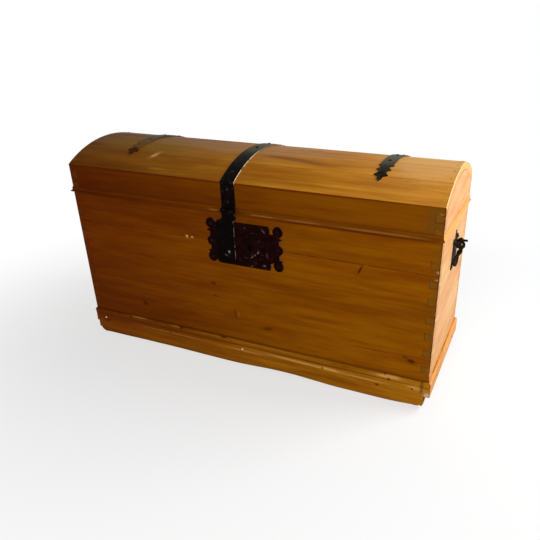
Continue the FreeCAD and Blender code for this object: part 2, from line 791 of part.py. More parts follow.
def lock_spring():
    """Leaf spring that steadies the bolt: fixed to the case's end, bearing on the bolt."""
    wall_x = case_x[1] - case_wall
    contact = bolt_z[1] + bolt_clearance
    outline = [(wall_x, contact + spring_rise), (wall_x, contact + spring_rise + spring_thickness),
               (wall_x - spring_reach, contact + spring_thickness), (wall_x - spring_reach, contact)]
    return plate_xz(outline, *bolt_y)


plate_nail_offsets = [(side * lobe_x, rise * lobe_z) for side in (-1, 1) for rise in (-1, 0, 1)]
plate_nail_offsets += [(plate_top_nail_x, plate_half_height - plate_edge_nail_margin),
                       (plate_bottom_nail_x, plate_edge_nail_margin - plate_half_height)]
lock_plate_nails = NailGroup([
    (Vec(plate_x + x, -strap_outer_y, plate_z + z), FRONT) for x, z in plate_nail_offsets])

# ---------------------------------------------------------------- handles
def handle_plate():
    """Back plate of the right handle, with a lobe at each corner and a spike above."""
    half_y = handle_plate_width / 2
    half_z = handle_plate_height / 2
    x = (half_length, end_face)
    lobe_out = handle_lobe_radius / 2
    pieces = [box(x, (-half_y + lobe_out, half_y - lobe_out),
                  (plate_mid_z - half_z + lobe_out, plate_mid_z + half_z - lobe_out))]
    for y_side in (-1, 1):
        for z_side in (-1, 1):
            start = Vec(half_length, y_side * (half_y - lobe_out),
                        plate_mid_z + z_side * (half_z - lobe_out))
            end = start + Vec(handle_plate_thickness, 0, 0)
            pieces.append(rod(start, end, handle_lobe_radius))
    spike_base = plate_mid_z + half_z - lobe_out
    half_spike = handle_spike_width / 2
    pieces.append(prism([Vec(half_length, -half_spike, spike_base),
                         Vec(half_length, half_spike, spike_base),
                         Vec(half_length, 0, spike_base + lobe_out + handle_spike_height)],
                        Vec(handle_plate_thickness, 0, 0)))
    return fuse(pieces)


def handle_eye(y_centre):
    """Cotter eye: a ring outside, a shank through the wall and two legs clenched inside."""
    near = Vec(pivot_x, y_centre - eye_thickness / 2, handle_pivot_z)
    far = near + Vec(0, eye_thickness, 0)
    half = eye_shank / 2
    shank = eye_shank_box(y_centre, inner_x - eye_leg_thickness)
    legs = box((inner_x - eye_leg_thickness, inner_x),
               (y_centre - eye_thickness / 2, y_centre + eye_thickness / 2),
               (handle_pivot_z - half - eye_leg_length, handle_pivot_z + half + eye_leg_length))
    return carve(fuse([rod(near, far, eye_radius), shank, legs]),
                 [rod(near, far, eye_hole_radius)])


def eye_shank_box(y_centre, x_start):
    half = eye_shank / 2
    return box((x_start, pivot_x - eye_hole_radius),
               (y_centre - eye_thickness / 2, y_centre + eye_thickness / 2),
               (handle_pivot_z - half, handle_pivot_z + half))


def rounded_wire(points, radius):
    """Straight runs through the points, joined by tangent arcs of one radius."""
    edges = []
    start = points[0]
    for before, corner, after in zip(points, points[1:], points[2:]):
        into = (corner - before).normalize()
        out = (after - corner).normalize()
        turn = into.getAngle(out)
        cut = radius * math.tan(turn / 2)
        arc_start = corner - into * cut
        arc_end = corner + out * cut
        bisector = (out - into).normalize()
        arc_middle = corner + bisector * (radius / math.cos(turn / 2) - radius)
        edges.append(Part.makeLine(start, arc_start))
        edges.append(Part.Arc(arc_start, arc_middle, arc_end).toShape())
        start = arc_end
    edges.append(Part.makeLine(start, points[-1]))
    return Part.Wire(edges)


def bail():
    """Right handle: bar bent to a loop, hung from the eyes by two pins, with upset tips."""
    def at(out, y, drop):
        return Vec(half_length + out, y, handle_pivot_z - drop)

    path = [at(handle_pivot_out, -arm_y, 0), at(bail_bulge_out, -arm_y, bail_bulge_drop),
            at(bail_lower_out, -arm_y, bail_lower_drop), at(bail_lower_out, -arm_y, bail_drop),
            at(bail_lower_out, arm_y, bail_drop), at(bail_lower_out, arm_y, bail_lower_drop),
            at(bail_bulge_out, arm_y, bail_bulge_drop), at(handle_pivot_out, arm_y, 0)]
    wire = rounded_wire(path, bail_bend_radius)
    first = wire.Edges[0]
    section = Part.Wire(Part.makeCircle(bail_arm_radius, path[0], first.tangentAt(0)))
    loop = wire.makePipeShell([section], True, False)
    grip_half = arm_y - bail_bend_radius
    pieces = [rod(at(bail_lower_out, -grip_half, bail_drop),
                  at(bail_lower_out, grip_half, bail_drop), bail_grip_radius)]
    for side in (-1, 1):
        outer = side * (arm_y + bail_arm_radius)
        inner = side * (arm_y - bail_arm_radius)
        end = side * (eye_y - eye_thickness / 2 - bail_pin_overhang)
        pieces.append(rod(at(handle_pivot_out, inner, 0), at(handle_pivot_out, outer, 0),
                          bail_boss_radius))
        pieces.append(rod(at(handle_pivot_out, inner, 0), at(handle_pivot_out, end, 0),
                          bail_pin_radius))
        pieces.append(rod(at(handle_pivot_out, side * arm_y, 0), at(bail_tip_out, side * arm_y, 0),
                          bail_tip_radius))
    return loop.multiFuse(pieces)


handle_half = handle_plate_width / 2 - handle_lobe_radius / 2
handle_rise = handle_plate_height / 2 - handle_lobe_radius / 2
handle_nails = NailGroup([
    (Vec(end_face, y_side * handle_half, plate_mid_z + z_side * handle_rise), Vec(1, 0, 0))
    for y_side in (-1, 1) for z_side in (-1, 1)])
handle_eyes = [handle_eye(side * eye_y) for side in (-1, 1)]
eye_holes = [eye_shank_box(side * eye_y, inner_x - eye_leg_thickness) for side in (-1, 1)]

# ---------------------------------------------------------------- nodes
nodes = {}

front_holes = lock_plate_nails.holes + plinth_nails.holes
nodes["front_lower_board"] = carve(front_lower_board, front_holes)
nodes["front_upper_board"] = carve(front_upper_board, front_holes)
nodes["back_lower_board"] = carve(back_lower_board, leaf_nails.holes)
nodes["back_upper_board"] = carve(back_upper_board, leaf_nails.holes)
end_holes = handle_nails.holes + eye_holes + plinth_nails.holes
nodes["right_end_lower_board"] = carve(end_lower_board, end_holes)
nodes["right_end_upper_board"] = carve(end_upper_board, end_holes)
nodes["left_end_lower_board"] = mirrored_x(nodes["right_end_lower_board"])
nodes["left_end_upper_board"] = mirrored_x(nodes["right_end_upper_board"])
nodes["bottom_front_board"] = bottom_front_board
nodes["bottom_rear_board"] = bottom_rear_board
nodes["front_runner"] = front_runner
nodes["rear_runner"] = rear_runner
nodes["front_plinth"] = carve(front_plinth, plinth_nails.holes)
nodes["right_plinth"] = carve(right_plinth, plinth_nails.holes)
nodes["left_plinth"] = mirrored_x(nodes["right_plinth"])
nodes["plinth_nails"] = plinth_nails.node()

for number, stave in enumerate(staves, start=1):
    held_by = stave_nails.holes + centre_strap_nails.holes
    held_by += left_strap_nails.holes + right_strap_nails.holes
    nodes["lid_stave_%d" % number] = carve(stave, held_by)
nodes["lid_front_board"] = carve(lid_front_board, centre_strap_nails.holes)
nodes["lid_back_board"] = carve(lid_back_board, left_strap_nails.holes + right_strap_nails.holes)
nodes["lid_right_end"] = carve(lid_right_end, stave_nails.holes)
nodes["lid_left_end"] = mirrored_x(nodes["lid_right_end"])
nodes["lid_front_bead_left"] = front_bead_left
nodes["lid_front_bead_right"] = front_bead_right
nodes["lid_right_bead"] = right_bead
nodes["lid_left_bead"] = mirrored_x(right_bead)
nodes["stave_nails"] = stave_nails.node()

nodes["right_hinge_strap"] = carve(hinge_strap(), right_strap_nails.holes)
nodes["left_hinge_strap"] = mirrored_x(nodes["right_hinge_strap"])
nodes["right_hinge_strap_nails"] = right_strap_nails.node()
nodes["left_hinge_strap_nails"] = left_strap_nails.node()
nodes["right_hinge_leaf"] = carve(hinge_leaf(), leaf_nails.holes)
nodes["left_hinge_leaf"] = mirrored_x(nodes["right_hinge_leaf"])
nodes["right_hinge_pin"] = right_hinge_pin
nodes["left_hinge_pin"] = mirrored_x(right_hinge_pin)
nodes["hinge_leaf_nails"] = leaf_nails.node()

nodes["centre_strap"] = carve(centre_strap(), centre_strap_nails.holes)
nodes["centre_strap_nails"] = centre_strap_nails.node()
nodes["hasp_pin"] = hasp_pin
nodes["hasp_leaf"] = hasp_leaf()
nodes["hasp_staple"] = hasp_staple()

nodes["lock_plate"] = carve(lock_plate(), lock_plate_nails.holes)
nodes["lock_plate_nails"] = lock_plate_nails.node()
nodes["lock_case"] = lock_case()
nodes["lock_bolt"] = lock_bolt()
nodes["lock_spring"] = lock_spring()

nodes["right_handle_plate"] = carve(handle_plate(), handle_nails.holes + eye_holes)
nodes["left_handle_plate"] = mirrored_x(nodes["right_handle_plate"])
nodes["right_handle_nails"] = handle_nails.node()
nodes["left_handle_nails"] = mirrored_x(nodes["right_handle_nails"])
nodes["right_handle_eyes"] = Part.makeCompound(handle_eyes)
nodes["left_handle_eyes"] = mirrored_x(nodes["right_handle_eyes"])
nodes["right_handle_bail"] = bail()
nodes["left_handle_bail"] = mirrored_x(nodes["right_handle_bail"])

os.makedirs("parts", exist_ok=True)
for name, shape in nodes.items():
    shape.exportStep("parts/%s.step" % name)
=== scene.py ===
import math

import bmesh
import bpy
from mathutils import Matrix, Vector, noise


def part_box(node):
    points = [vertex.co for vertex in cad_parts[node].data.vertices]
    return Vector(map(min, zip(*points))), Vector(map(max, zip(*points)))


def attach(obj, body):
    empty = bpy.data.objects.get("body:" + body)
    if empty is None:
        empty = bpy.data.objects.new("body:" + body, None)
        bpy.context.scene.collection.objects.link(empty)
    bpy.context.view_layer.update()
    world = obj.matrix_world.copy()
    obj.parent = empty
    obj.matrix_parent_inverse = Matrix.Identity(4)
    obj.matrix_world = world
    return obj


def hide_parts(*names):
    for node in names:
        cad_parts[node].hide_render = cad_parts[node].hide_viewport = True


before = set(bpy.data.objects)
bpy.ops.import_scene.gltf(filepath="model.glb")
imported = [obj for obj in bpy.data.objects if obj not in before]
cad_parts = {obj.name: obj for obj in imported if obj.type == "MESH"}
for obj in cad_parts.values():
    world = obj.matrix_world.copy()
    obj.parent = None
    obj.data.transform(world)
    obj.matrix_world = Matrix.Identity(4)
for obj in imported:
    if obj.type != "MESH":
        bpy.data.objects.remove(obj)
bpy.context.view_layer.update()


# ---------------------------------------------------------------- front boards
# Two long pine boards, one above the other, make the front. They are sawn and planed, dovetailed
# into the ends, stained and waxed; the wax has darkened in the joints and worn off the arrises.

front_y = -0.1925
end_x = 0.550
hair = 0.001
arris_width = 0.0022
seam_width = 0.0006
same_point = 1e-5
nearly_flat = math.radians(0.5)
sharp_angle = math.radians(25)
crease_angle = math.radians(32)
shortest_softened = 0.004


def copy_of(node):
    """The made piece, with its loose triangles joined and its flat faces made whole."""
    shape = bmesh.new()
    shape.from_mesh(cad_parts[node].data)
    bmesh.ops.remove_doubles(shape, verts=shape.verts, dist=same_point)
    bmesh.ops.dissolve_limit(shape, angle_limit=nearly_flat, verts=shape.verts,
                             edges=shape.edges, use_dissolve_boundaries=False)
    return shape


def at_corner(point):
    """Whether a point lies on one of the chest's four upright corners."""
    return abs(point.x) > end_x - hair and abs(point.y) > -front_y - hair


def soften(shape, on_arris, seam_share):
    """Marks the sharp edges to be rounded: the open arrises fully, the edges in joints a little."""
    weight = shape.edges.layers.float.new("bevel_weight_edge")
    for edge in shape.edges:
        if len(edge.link_faces) != 2 or edge.calc_length() < shortest_softened:
            continue
        if edge.calc_face_angle_signed(0) < sharp_angle:
            continue
        middle = (edge.verts[0].co + edge.verts[1].co) / 2
        edge[weight] = 1.0 if on_arris(middle) else seam_share


def finished(shape, name, body, node, materials, rounding, segments=3):
    """Turns a worked shape into a piece that stands for its node and moves with its body."""
    mesh = bpy.data.meshes.new(name)
    shape.to_mesh(mesh)
    shape.free()
    for material in materials:
        mesh.materials.append(material)
    mesh.shade_smooth()
    mesh.set_sharp_from_angle(angle=crease_angle)
    piece = bpy.data.objects.new(name, mesh)
    bpy.context.scene.collection.objects.link(piece)
    bevel = piece.modifiers.new("rounded edges", "BEVEL")
    bevel.width = rounding
    bevel.segments = segments
    bevel.limit_method = "WEIGHT"
    bevel.use_clamp_overlap = False
    bevel.material = len(materials) - 1
    shading = piece.modifiers.new("flat faces stay flat", "WEIGHTED_NORMAL")
    shading.weight = 100
    shading.keep_sharp = True
    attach(piece, body)
    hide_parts(node)


def planed(node, name, body, wood, edge):
    """A planed board: its arrises at the chest's corners are worn, its joints stay crisp."""
    board = copy_of(node)
    soften(board, at_corner, seam_width / arris_width)
    finished(board, name, body, node, [wood, edge], arris_width)


def new_finish(name):
    """A material whose node tree is still empty."""
    material = bpy.data.materials.new(name)
    material.use_nodes = True
    material.node_tree.nodes.clear()
    return material, material.node_tree


def add(tree, kind, sockets=None, **settings):
    """One node of a finish, with its settings and with values or links on its sockets."""
    node = tree.nodes.new(kind)
    for key, value in settings.items():
        setattr(node, key, value)
    for key, value in (sockets or {}).items():
        if isinstance(value, bpy.types.NodeSocket):
            tree.links.new(value, node.inputs[key])
        else:
            node.inputs[key].default_value = value
    return node


def maths(tree, operation, first, second=0.0):
    """One step of arithmetic on two values or sockets."""
    return add(tree, "ShaderNodeMath", {0: first, 1: second}, operation=operation).outputs[0]


def between(tree, value, low, high):
    """0 below the low value, 1 above the high one, smooth in between."""
    return add(tree, "ShaderNodeMapRange", {0: value, 1: low, 2: high},
               interpolation_type="SMOOTHSTEP").outputs[0]


def blend_colour(tree, amount, first, second, way="MIX"):
    """Lays the second colour over the first, by the given amount."""
    return add(tree, "ShaderNodeMix", {0: amount, 6: first, 7: second}, data_type="RGBA",
               blend_type=way).outputs[2]


def stretched(tree, place, scale, move=(0.0, 0.0, 0.0), turn=(0.0, 0.0, 0.0)):
    """A place on the piece, scaled, moved and turned before a pattern reads it."""
    return add(tree, "ShaderNodeMapping", {"Vector": place, "Scale": scale, "Location": move,
                                           "Rotation": turn}).outputs[0]


def cloud(tree, place, scale, detail=3.0, rough=0.5):
    """Soft random values from 0 to 1; the scale says how often they change in a metre."""
    return add(tree, "ShaderNodeTexNoise", {"Vector": place, "Scale": scale, "Detail": detail,
                                            "Roughness": rough}).outputs[0]


def facing(tree, normal, way, low, high):
    """How much a surface faces along a direction."""
    along = add(tree, "ShaderNodeVectorMath", {0: normal, 1: way},
                operation="DOT_PRODUCT").outputs["Value"]
    return between(tree, along, low, high)


def new_effect(name, takes, gives):
    """An empty node group with its named sockets; returns it with its two end nodes."""
    group = bpy.data.node_groups.new(name, "ShaderNodeTree")
    kinds = {"value": "NodeSocketFloat", "vector": "NodeSocketVector"}
    for socket, kind in takes.items():
        group.interface.new_socket(socket, in_out="INPUT", socket_type=kinds[kind])
    for socket, kind in gives.items():
        group.interface.new_socket(socket, in_out="OUTPUT", socket_type=kinds[kind])
    return group, group.nodes.new("NodeGroupInput"), group.nodes.new("NodeGroupOutput")


# Figure of a pine board: the grain runs along X of the vector it is given. Each scale says how
# often a pattern changes in a metre, along the grain and then across it. Each reach gives the
# values between which a pattern fades in.
seed_steps = (1.37, 0.53, 0.71)
drift_scale = (1.2, 7.0, 7.0)
drift_across = 0.020
drift_through = 0.028
tree_heart = (0.0, 0.13, 0.06)
ring_scale = (0.05, 1.0, 1.0)
late_wood_sharpness = 3.0
broad_scale = (1.1, 13.0, 13.0)
narrow_scale = (5.0, 46.0, 46.0)
streak_reach = (0.34, 0.66)
fibre_scale = (14.0, 620.0, 620.0)
blotch_scale = (5.0, 22.0, 22.0)
blotch_reach = (0.38, 0.66)
pine_figure, given, result = new_effect(
    "Pine figure", {"Place": "vector", "Seed": "value", "Ring width": "value"},
    {"Rings": "value", "Streaks": "value", "Fibre": "value", "Blotches": "value"})
seed_shift = add(pine_figure, "ShaderNodeCombineXYZ", {
    number: maths(pine_figure, "MULTIPLY", given.outputs["Seed"], step)
    for number, step in enumerate(seed_steps)}).outputs[0]
seeded = add(pine_figure, "ShaderNodeVectorMath", {0: given.outputs["Place"], 1: seed_shift},
             operation="ADD").outputs[0]
drift = cloud(pine_figure, stretched(pine_figure, seeded, drift_scale), 1.0, 2.0)
drift_offset = add(pine_figure, "ShaderNodeCombineXYZ", {
    0: 0.0, 1: maths(pine_figure, "MULTIPLY", drift, drift_across),
    2: maths(pine_figure, "MULTIPLY", drift, drift_through)}).outputs[0]
wandering = add(pine_figure, "ShaderNodeVectorMath", {0: seeded, 1: drift_offset},
                operation="ADD").outputs[0]
from_heart = add(pine_figure, "ShaderNodeVectorMath", {
    0: stretched(pine_figure, wandering, ring_scale, tree_heart)},
    operation="LENGTH").outputs["Value"]
year = maths(pine_figure, "FRACT", maths(pine_figure, "DIVIDE", from_heart,
                                         given.outputs["Ring width"]))
late_wood = maths(pine_figure, "POWER", year, late_wood_sharpness)
broad = cloud(pine_figure, stretched(pine_figure, wandering, broad_scale), 1.0, 4.0, 0.6)
narrow = cloud(pine_figure, stretched(pine_figure, wandering, narrow_scale), 1.0, 3.0, 0.6)
streaks = maths(pine_figure, "ADD", maths(pine_figure, "MULTIPLY", broad, 0.50),
                maths(pine_figure, "MULTIPLY", narrow, 0.50))
fibre = cloud(pine_figure, stretched(pine_figure, wandering, fibre_scale), 1.0, 2.0, 0.6)
blotches = cloud(pine_figure, stretched(pine_figure, seeded, blotch_scale), 1.0, 4.0, 0.6)
pine_figure.links.new(late_wood, result.inputs["Rings"])
pine_figure.links.new(between(pine_figure, streaks, *streak_reach), result.inputs["Streaks"])
pine_figure.links.new(fibre, result.inputs["Fibre"])
pine_figure.links.new(between(pine_figure, blotches, *blotch_reach), result.inputs["Blotches"])

# Mark of a given middle, size and turn, such as a knot, a nail hole or a scratch.
tatters_per_metre = 160.0
tatter_size = 0.5
spot_reach = (0.85, 1.45)
halo_reach = (1.0, 2.6)
halo_share = 0.25
mark_spot, given, result = new_effect(
    "Mark", {"Place": "vector", "Middle": "vector", "Size": "vector", "Turn": "vector"},
    {"Spot": "value", "Halo": "value"})
from_middle = add(mark_spot, "ShaderNodeVectorMath", {
    0: given.outputs["Place"], 1: given.outputs["Middle"]}, operation="SUBTRACT").outputs[0]
turned = add(mark_spot, "ShaderNodeVectorRotate", {
    "Vector": from_middle, "Rotation": given.outputs["Turn"]},
    rotation_type="EULER_XYZ").outputs[0]
reach = add(mark_spot, "ShaderNodeVectorMath", {0: turned, 1: given.outputs["Size"]},
            operation="DIVIDE").outputs[0]
reach = add(mark_spot, "ShaderNodeVectorMath", {0: reach}, operation="LENGTH").outputs["Value"]
tatters = cloud(mark_spot, given.outputs["Place"], tatters_per_metre, 2.0)
ragged = maths(mark_spot, "ADD", reach, maths(mark_spot, "MULTIPLY", tatters, tatter_size))
mark_spot.links.new(maths(mark_spot, "SUBTRACT", 1.0, between(mark_spot, ragged, *spot_reach)),
                    result.inputs["Spot"])
mark_spot.links.new(maths(mark_spot, "SUBTRACT", 1.0, between(mark_spot, ragged, *halo_reach)),
                    result.inputs["Halo"])


def effect(tree, group, sockets):
    """Places one of the effects above in a finish."""
    return add(tree, "ShaderNodeGroup", sockets, node_tree=group)


def with_marks(tree, place, colour, marks):
    """Lays marks, given as (middle, size, turn, colour, how much), over a colour."""
    for middle, size, turn, tint, amount in marks:
        mark = effect(tree, mark_spot, {"Place": place, "Middle": middle, "Size": size,
                                        "Turn": [math.radians(angle) for angle in turn]})
        colour = blend_colour(tree, maths(tree, "MULTIPLY", mark.outputs["Halo"],
                                          amount * halo_share), colour, (*tint, 1))
        colour = blend_colour(tree, maths(tree, "MULTIPLY", mark.outputs["Spot"], amount), colour,
                              (*tint, 1))
    return colour


ring_width = 0.011
ring_amount = 0.26
fibre_amount = 0.22
fibre_reach = (0.42, 0.72)
blotch_amount = 0.34
end_grain_amount = 0.5
grime_amount = 0.75
rubs_per_metre = 42.0
rub_reach = (0.52, 0.64)
grime_per_metre = 26.0
grime_reach = (0.38, 0.56)
ring_tint = (0.62, 0.42, 0.22, 1)
fibre_tint = (0.55, 0.38, 0.25, 1)
blotch_tint = (0.84, 0.52, 0.40, 1)
end_grain_tint = (0.34, 0.22, 0.12, 1)
slot_tint = (0.12, 0.08, 0.05, 1)
bare_wood = (0.50, 0.25, 0.07, 1)
grime_brown = (0.030, 0.006, 0.001, 1)
outer_reach = (0.48, 0.50)
# Painted shade: surfaces darken from right to left between these X positions.
left_shade_reach = (-0.62, 0.45)
fibre_height = 0.35
ring_height = 0.20
blotch_height = 1.2
pine_relief = 0.35
pine_depth = 0.0012
streak_shine = -0.06
blotch_dullness = 0.10


def waxed_pine(name, seed, deep, pale, along="x", figure=1.0, gloss=0.45, sheen=0.012, marks=(),
               left_shade=None, rubbed=0.0, end_wood=None, end_reach=(0.75, 0.9)):
    """Waxed old pine: figure, end grain, worn or grimy edges, painted shade on the left, and marks.
    """
    material, tree = new_finish(name)
    where = add(tree, "ShaderNodeTexCoord")
    place = where.outputs["Object"]
    across = add(tree, "ShaderNodeSeparateXYZ", {0: place}).outputs[0]
    grain_place = place
    if along == "y":
        grain_place = stretched(tree, place, (1.0, 1.0, 1.0), turn=(0.0, 0.0, math.radians(90)))
    wood = effect(tree, pine_figure, {"Place": grain_place, "Seed": seed,
                                      "Ring width": ring_width})
    colour = blend_colour(tree, wood.outputs["Streaks"], (*deep, 1), (*pale, 1))
    colour = blend_colour(tree, maths(tree, "MULTIPLY", wood.outputs["Rings"],
                                      ring_amount * figure), colour, ring_tint, "MULTIPLY")
    fibre_lines = between(tree, wood.outputs["Fibre"], *fibre_reach)
    colour = blend_colour(tree, maths(tree, "MULTIPLY", fibre_lines, fibre_amount * figure),
                          colour, fibre_tint, "MULTIPLY")
    colour = blend_colour(tree, maths(tree, "MULTIPLY", wood.outputs["Blotches"],
                                      blotch_amount), colour, blotch_tint, "MULTIPLY")
    axis = (1.0, 0.0, 0.0) if along == "x" else (0.0, 1.0, 0.0)
    end_grain = maths(tree, "ADD", facing(tree, where.outputs["Normal"], axis, *end_reach),
                      facing(tree, where.outputs["Normal"], [-part for part in axis], *end_reach))
    if end_wood:
        outer = between(tree, maths(tree, "ABSOLUTE", across), *outer_reach)
        inner = maths(tree, "SUBTRACT", 1.0, outer)
        colour = blend_colour(tree, maths(tree, "MULTIPLY", end_grain, outer), colour,
                              (*end_wood, 1))
        colour = blend_colour(tree, maths(tree, "MULTIPLY", end_grain, inner), colour,
                              slot_tint, "MULTIPLY")
    else:
        colour = blend_colour(tree, maths(tree, "MULTIPLY", end_grain, end_grain_amount), colour,
                              end_grain_tint, "MULTIPLY")
    if rubbed:
        bare = between(tree, cloud(tree, place, rubs_per_metre, 4.0, 0.6), *rub_reach)
        colour = blend_colour(tree, maths(tree, "MULTIPLY", bare, rubbed), colour, bare_wood)
        grime = between(tree, cloud(tree, place, grime_per_metre, 4.0, 0.6), *grime_reach)
        colour = blend_colour(tree, maths(tree, "MULTIPLY", grime, grime_amount), colour,
                              grime_brown)
    # Painted shade: the colour darkens towards the chest's left end, as though lit from the right.
    if left_shade:
        shade = maths(tree, "SUBTRACT", 1.0, between(tree, across, *left_shade_reach))
        colour = blend_colour(tree, shade, colour, (*left_shade, 1), "MULTIPLY")
    colour = with_marks(tree, place, colour, marks)
    height = maths(tree, "ADD", maths(tree, "MULTIPLY", wood.outputs["Fibre"], fibre_height),
                   maths(tree, "ADD", maths(tree, "MULTIPLY", wood.outputs["Rings"], ring_height),
                         maths(tree, "MULTIPLY", wood.outputs["Blotches"], blotch_height)))
    bump = add(tree, "ShaderNodeBump", {"Height": height, "Strength": pine_relief,
                                        "Distance": pine_depth})
    shine = maths(tree, "ADD", gloss, maths(tree, "MULTIPLY", wood.outputs["Streaks"],
                                            streak_shine))
    finish = add(tree, "ShaderNodeBsdfPrincipled", {
        "Base Color": colour, "Roughness": maths(tree, "ADD", shine, maths(
            tree, "MULTIPLY", wood.outputs["Blotches"], blotch_dullness)),
        "Specular IOR Level": sheen, "Normal": bump.outputs[0]})
    add(tree, "ShaderNodeOutputMaterial", {0: finish.outputs[0]})
    return material


straight = (0.0, 0.0, 0.0)
front_deep = (0.144, 0.039, 0.0002)
front_pale = (0.218, 0.073, 0.0004)
# Painted shade: how dark the left part of the front, the lid and the bead is made.
front_left_shade = (0.60, 0.37, 0.20)
outer_end_wood = (0.60, 0.31, 0.115)
knot_brown = (0.050, 0.010, 0.001)
# Red-brown of old wax in joints and patches; also painted shadow under the bead and along the top
# of the moulding.
wax_red_and_shadow = (0.075, 0.010, 0.0005)
pale_chip = (0.62, 0.38, 0.15)
# Painted shade: near black in the keyhole, the staple slot and the gaps of the hasp's hinge.
painted_hollow_shade = (0.004, 0.0015, 0.001)
front_marks_and_shade = [
    ((-0.344, front_y, 0.139), (0.009, 0.02, 0.0055), (0, -35, 0), knot_brown, 1.0),
    ((0.500, front_y, 0.137), (0.011, 0.02, 0.006), (0, -8, 0), knot_brown, 0.9),
    ((0.483, front_y, 0.146), (0.006, 0.02, 0.004), (0, -10, 0), knot_brown, 0.5),
    ((-0.085, front_y, 0.254), (0.007, 0.02, 0.004), straight, knot_brown, 0.7),
    ((-0.083, front_y, 0.215), (0.006, 0.02, 0.0025), straight, knot_brown, 0.6),
    ((-0.020, front_y, 0.170), (0.0025, 0.02, 0.013), (0, 6, 0), knot_brown, 0.5),
    ((-0.008, front_y, 0.169), (0.0030, 0.02, 0.008), straight, (0.24, 0.11, 0.004), 0.3),
    ((0.084, front_y, 0.141), (0.016, 0.02, 0.006), (0, 12, 0), knot_brown, 0.55),
    ((0.353, front_y, 0.369), (0.0024, 0.02, 0.013), (0, -24, 0), (0.045, 0.006, 0.001), 0.95),
    ((0.392, front_y, 0.1475), (0.056, 0.02, 0.0013), straight, knot_brown, 0.65),
    ((-0.159, front_y, 0.385), (0.0032, 0.02, 0.0032), straight, pale_chip, 0.9),
    ((-0.142, front_y, 0.3845), (0.0034, 0.02, 0.0022), straight, pale_chip, 0.8),
    ((0.547, front_y, 0.394), (0.004, 0.02, 0.003), straight, pale_chip, 0.6),
    ((0.546, front_y, 0.374), (0.005, 0.02, 0.002), straight, pale_chip, 0.45),
    ((0.545, front_y, 0.290), (0.006, 0.02, 0.22), straight, (0.120, 0.048, 0.006), 0.35),
    # Painted shade in the keyhole and behind the hasp's hinge.
    ((0.042, front_y, 0.3800), (0.010, 0.02, 0.014), straight, painted_hollow_shade, 1.0),
    ((-0.015, front_y, 0.4700), (0.019, 0.02, 0.008), straight, painted_hollow_shade, 1.0),
    ((0.330, front_y, 0.3838), (0.200, 0.02, 0.0014), straight, wax_red_and_shadow, 0.55),
    # Painted shadow under the bead.
    ((-0.280, front_y, 0.4675), (0.280, 0.02, 0.0018), straight, wax_red_and_shadow, 0.60),
    ((0.290, front_y, 0.4668), (0.270, 0.02, 0.0026), straight, wax_red_and_shadow, 0.75),
    # Dark joint along the top of the moulding, with painted shadow over it.
    ((0.000, front_y, 0.0870), (0.560, 0.02, 0.0016), straight, wax_red_and_shadow, 0.60),
    ((-0.300, front_y, 0.2700), (0.090, 0.02, 0.0060), (0, -1, 0), wax_red_and_shadow, 0.22),
    ((0.250, front_y, 0.2050), (0.120, 0.02, 0.0060), (0, 1, 0), wax_red_and_shadow, 0.18),
    ((-0.420, front_y, 0.3900), (0.070, 0.02, 0.0050), straight, wax_red_and_shadow, 0.20)]
front_edge = waxed_pine("worn front edges", 3.0, front_deep, front_pale, rubbed=0.30,
                        left_shade=front_left_shade)
for node, seed in (("front_lower_board", 1.0), ("front_upper_board", 2.2)):
    wood = waxed_pine(node + " pine", seed, front_deep, front_pale, figure=0.6,
                      marks=front_marks_and_shade, left_shade=front_left_shade, end_wood=outer_end_wood)
    planed(node, node.replace("board", "plank"), "chest", wood, front_edge)


# ---------------------------------------------------------------- back boards
# The back is made as the front is, from two boards. It stood against walls, so its wax is dry
# and the wood is paler and duller.

back_deep = (0.170, 0.062, 0.012)
back_pale = (0.330, 0.155, 0.040)
back_edge = waxed_pine("worn back edges", 5.0, back_deep, back_pale, gloss=0.6, rubbed=0.3)
for node, seed in (("back_lower_board", 6.1), ("back_upper_board", 7.4)):
    wood = waxed_pine(node + " pine", seed, back_deep, back_pale, gloss=0.6,
                      end_wood=outer_end_wood)
    planed(node, node.replace("board", "plank"), "chest", wood, back_edge)


# ---------------------------------------------------------------- end boards
# Each end is two boards with the grain from front to back, cut with pins that show their end
# grain on the front. Their stain is a paler peach than the front's, partly as painted light
# that stands for the strong light on the right end.

# Partly painted light: the ends are coloured about as pale as the lit right end.
end_deep = (0.620, 0.310, 0.120)
end_pale = (0.760, 0.450, 0.210)
# The left pins are darker to follow the painted shade on the left of the front.
pin_end_wood = {"left": (0.085, 0.020, 0.0010), "right": (0.140, 0.052, 0.0040)}
end_edge = waxed_pine("worn end edges", 9.0, (0.26, 0.10, 0.02), (0.42, 0.19, 0.05), along="y",
                      rubbed=0.15, end_wood=(0.07, 0.016, 0.001), end_reach=(0.35, 0.6))
# Painted light: a paler band on the end faces just above the moulding.
foot_painted_light = [((side * 0.55, 0.0, 0.075), (0.004, 0.30, 0.045), straight, (0.66, 0.33, 0.100), 0.75)
             for side in (-1, 1)]
for side in ("left", "right"):
    for level, seed in (("lower", 10.3), ("upper", 12.9)):
        node = f"{side}_end_{level}_board"
        wood = waxed_pine(node + " pine", seed + len(side), end_deep, end_pale, along="y",
                          figure=0.6, marks=foot_painted_light, end_wood=pin_end_wood[side])
        planed(node, node.replace("board", "plank"), "chest", wood, end_edge)


# ---------------------------------------------------------------- bottom
# Two bare pine boards lie on the runners, between the walls. Nobody waxed them, so they are dry,
# pale and matt.

bare_deep = (0.300, 0.190, 0.100)
bare_pale = (0.480, 0.340, 0.200)
bottom_rounding = 0.001
for node, seed in (("bottom_front_board", 15.2), ("bottom_rear_board", 16.6)):
    board = copy_of(node)
    soften(board, lambda point: True, 1.0)
    bare = waxed_pine(node + " pine", seed, bare_deep, bare_pale, gloss=0.75, sheen=0.15)
    finished(board, node.replace("board", "plank"), "chest", node, [bare, bare],
             bottom_rounding)


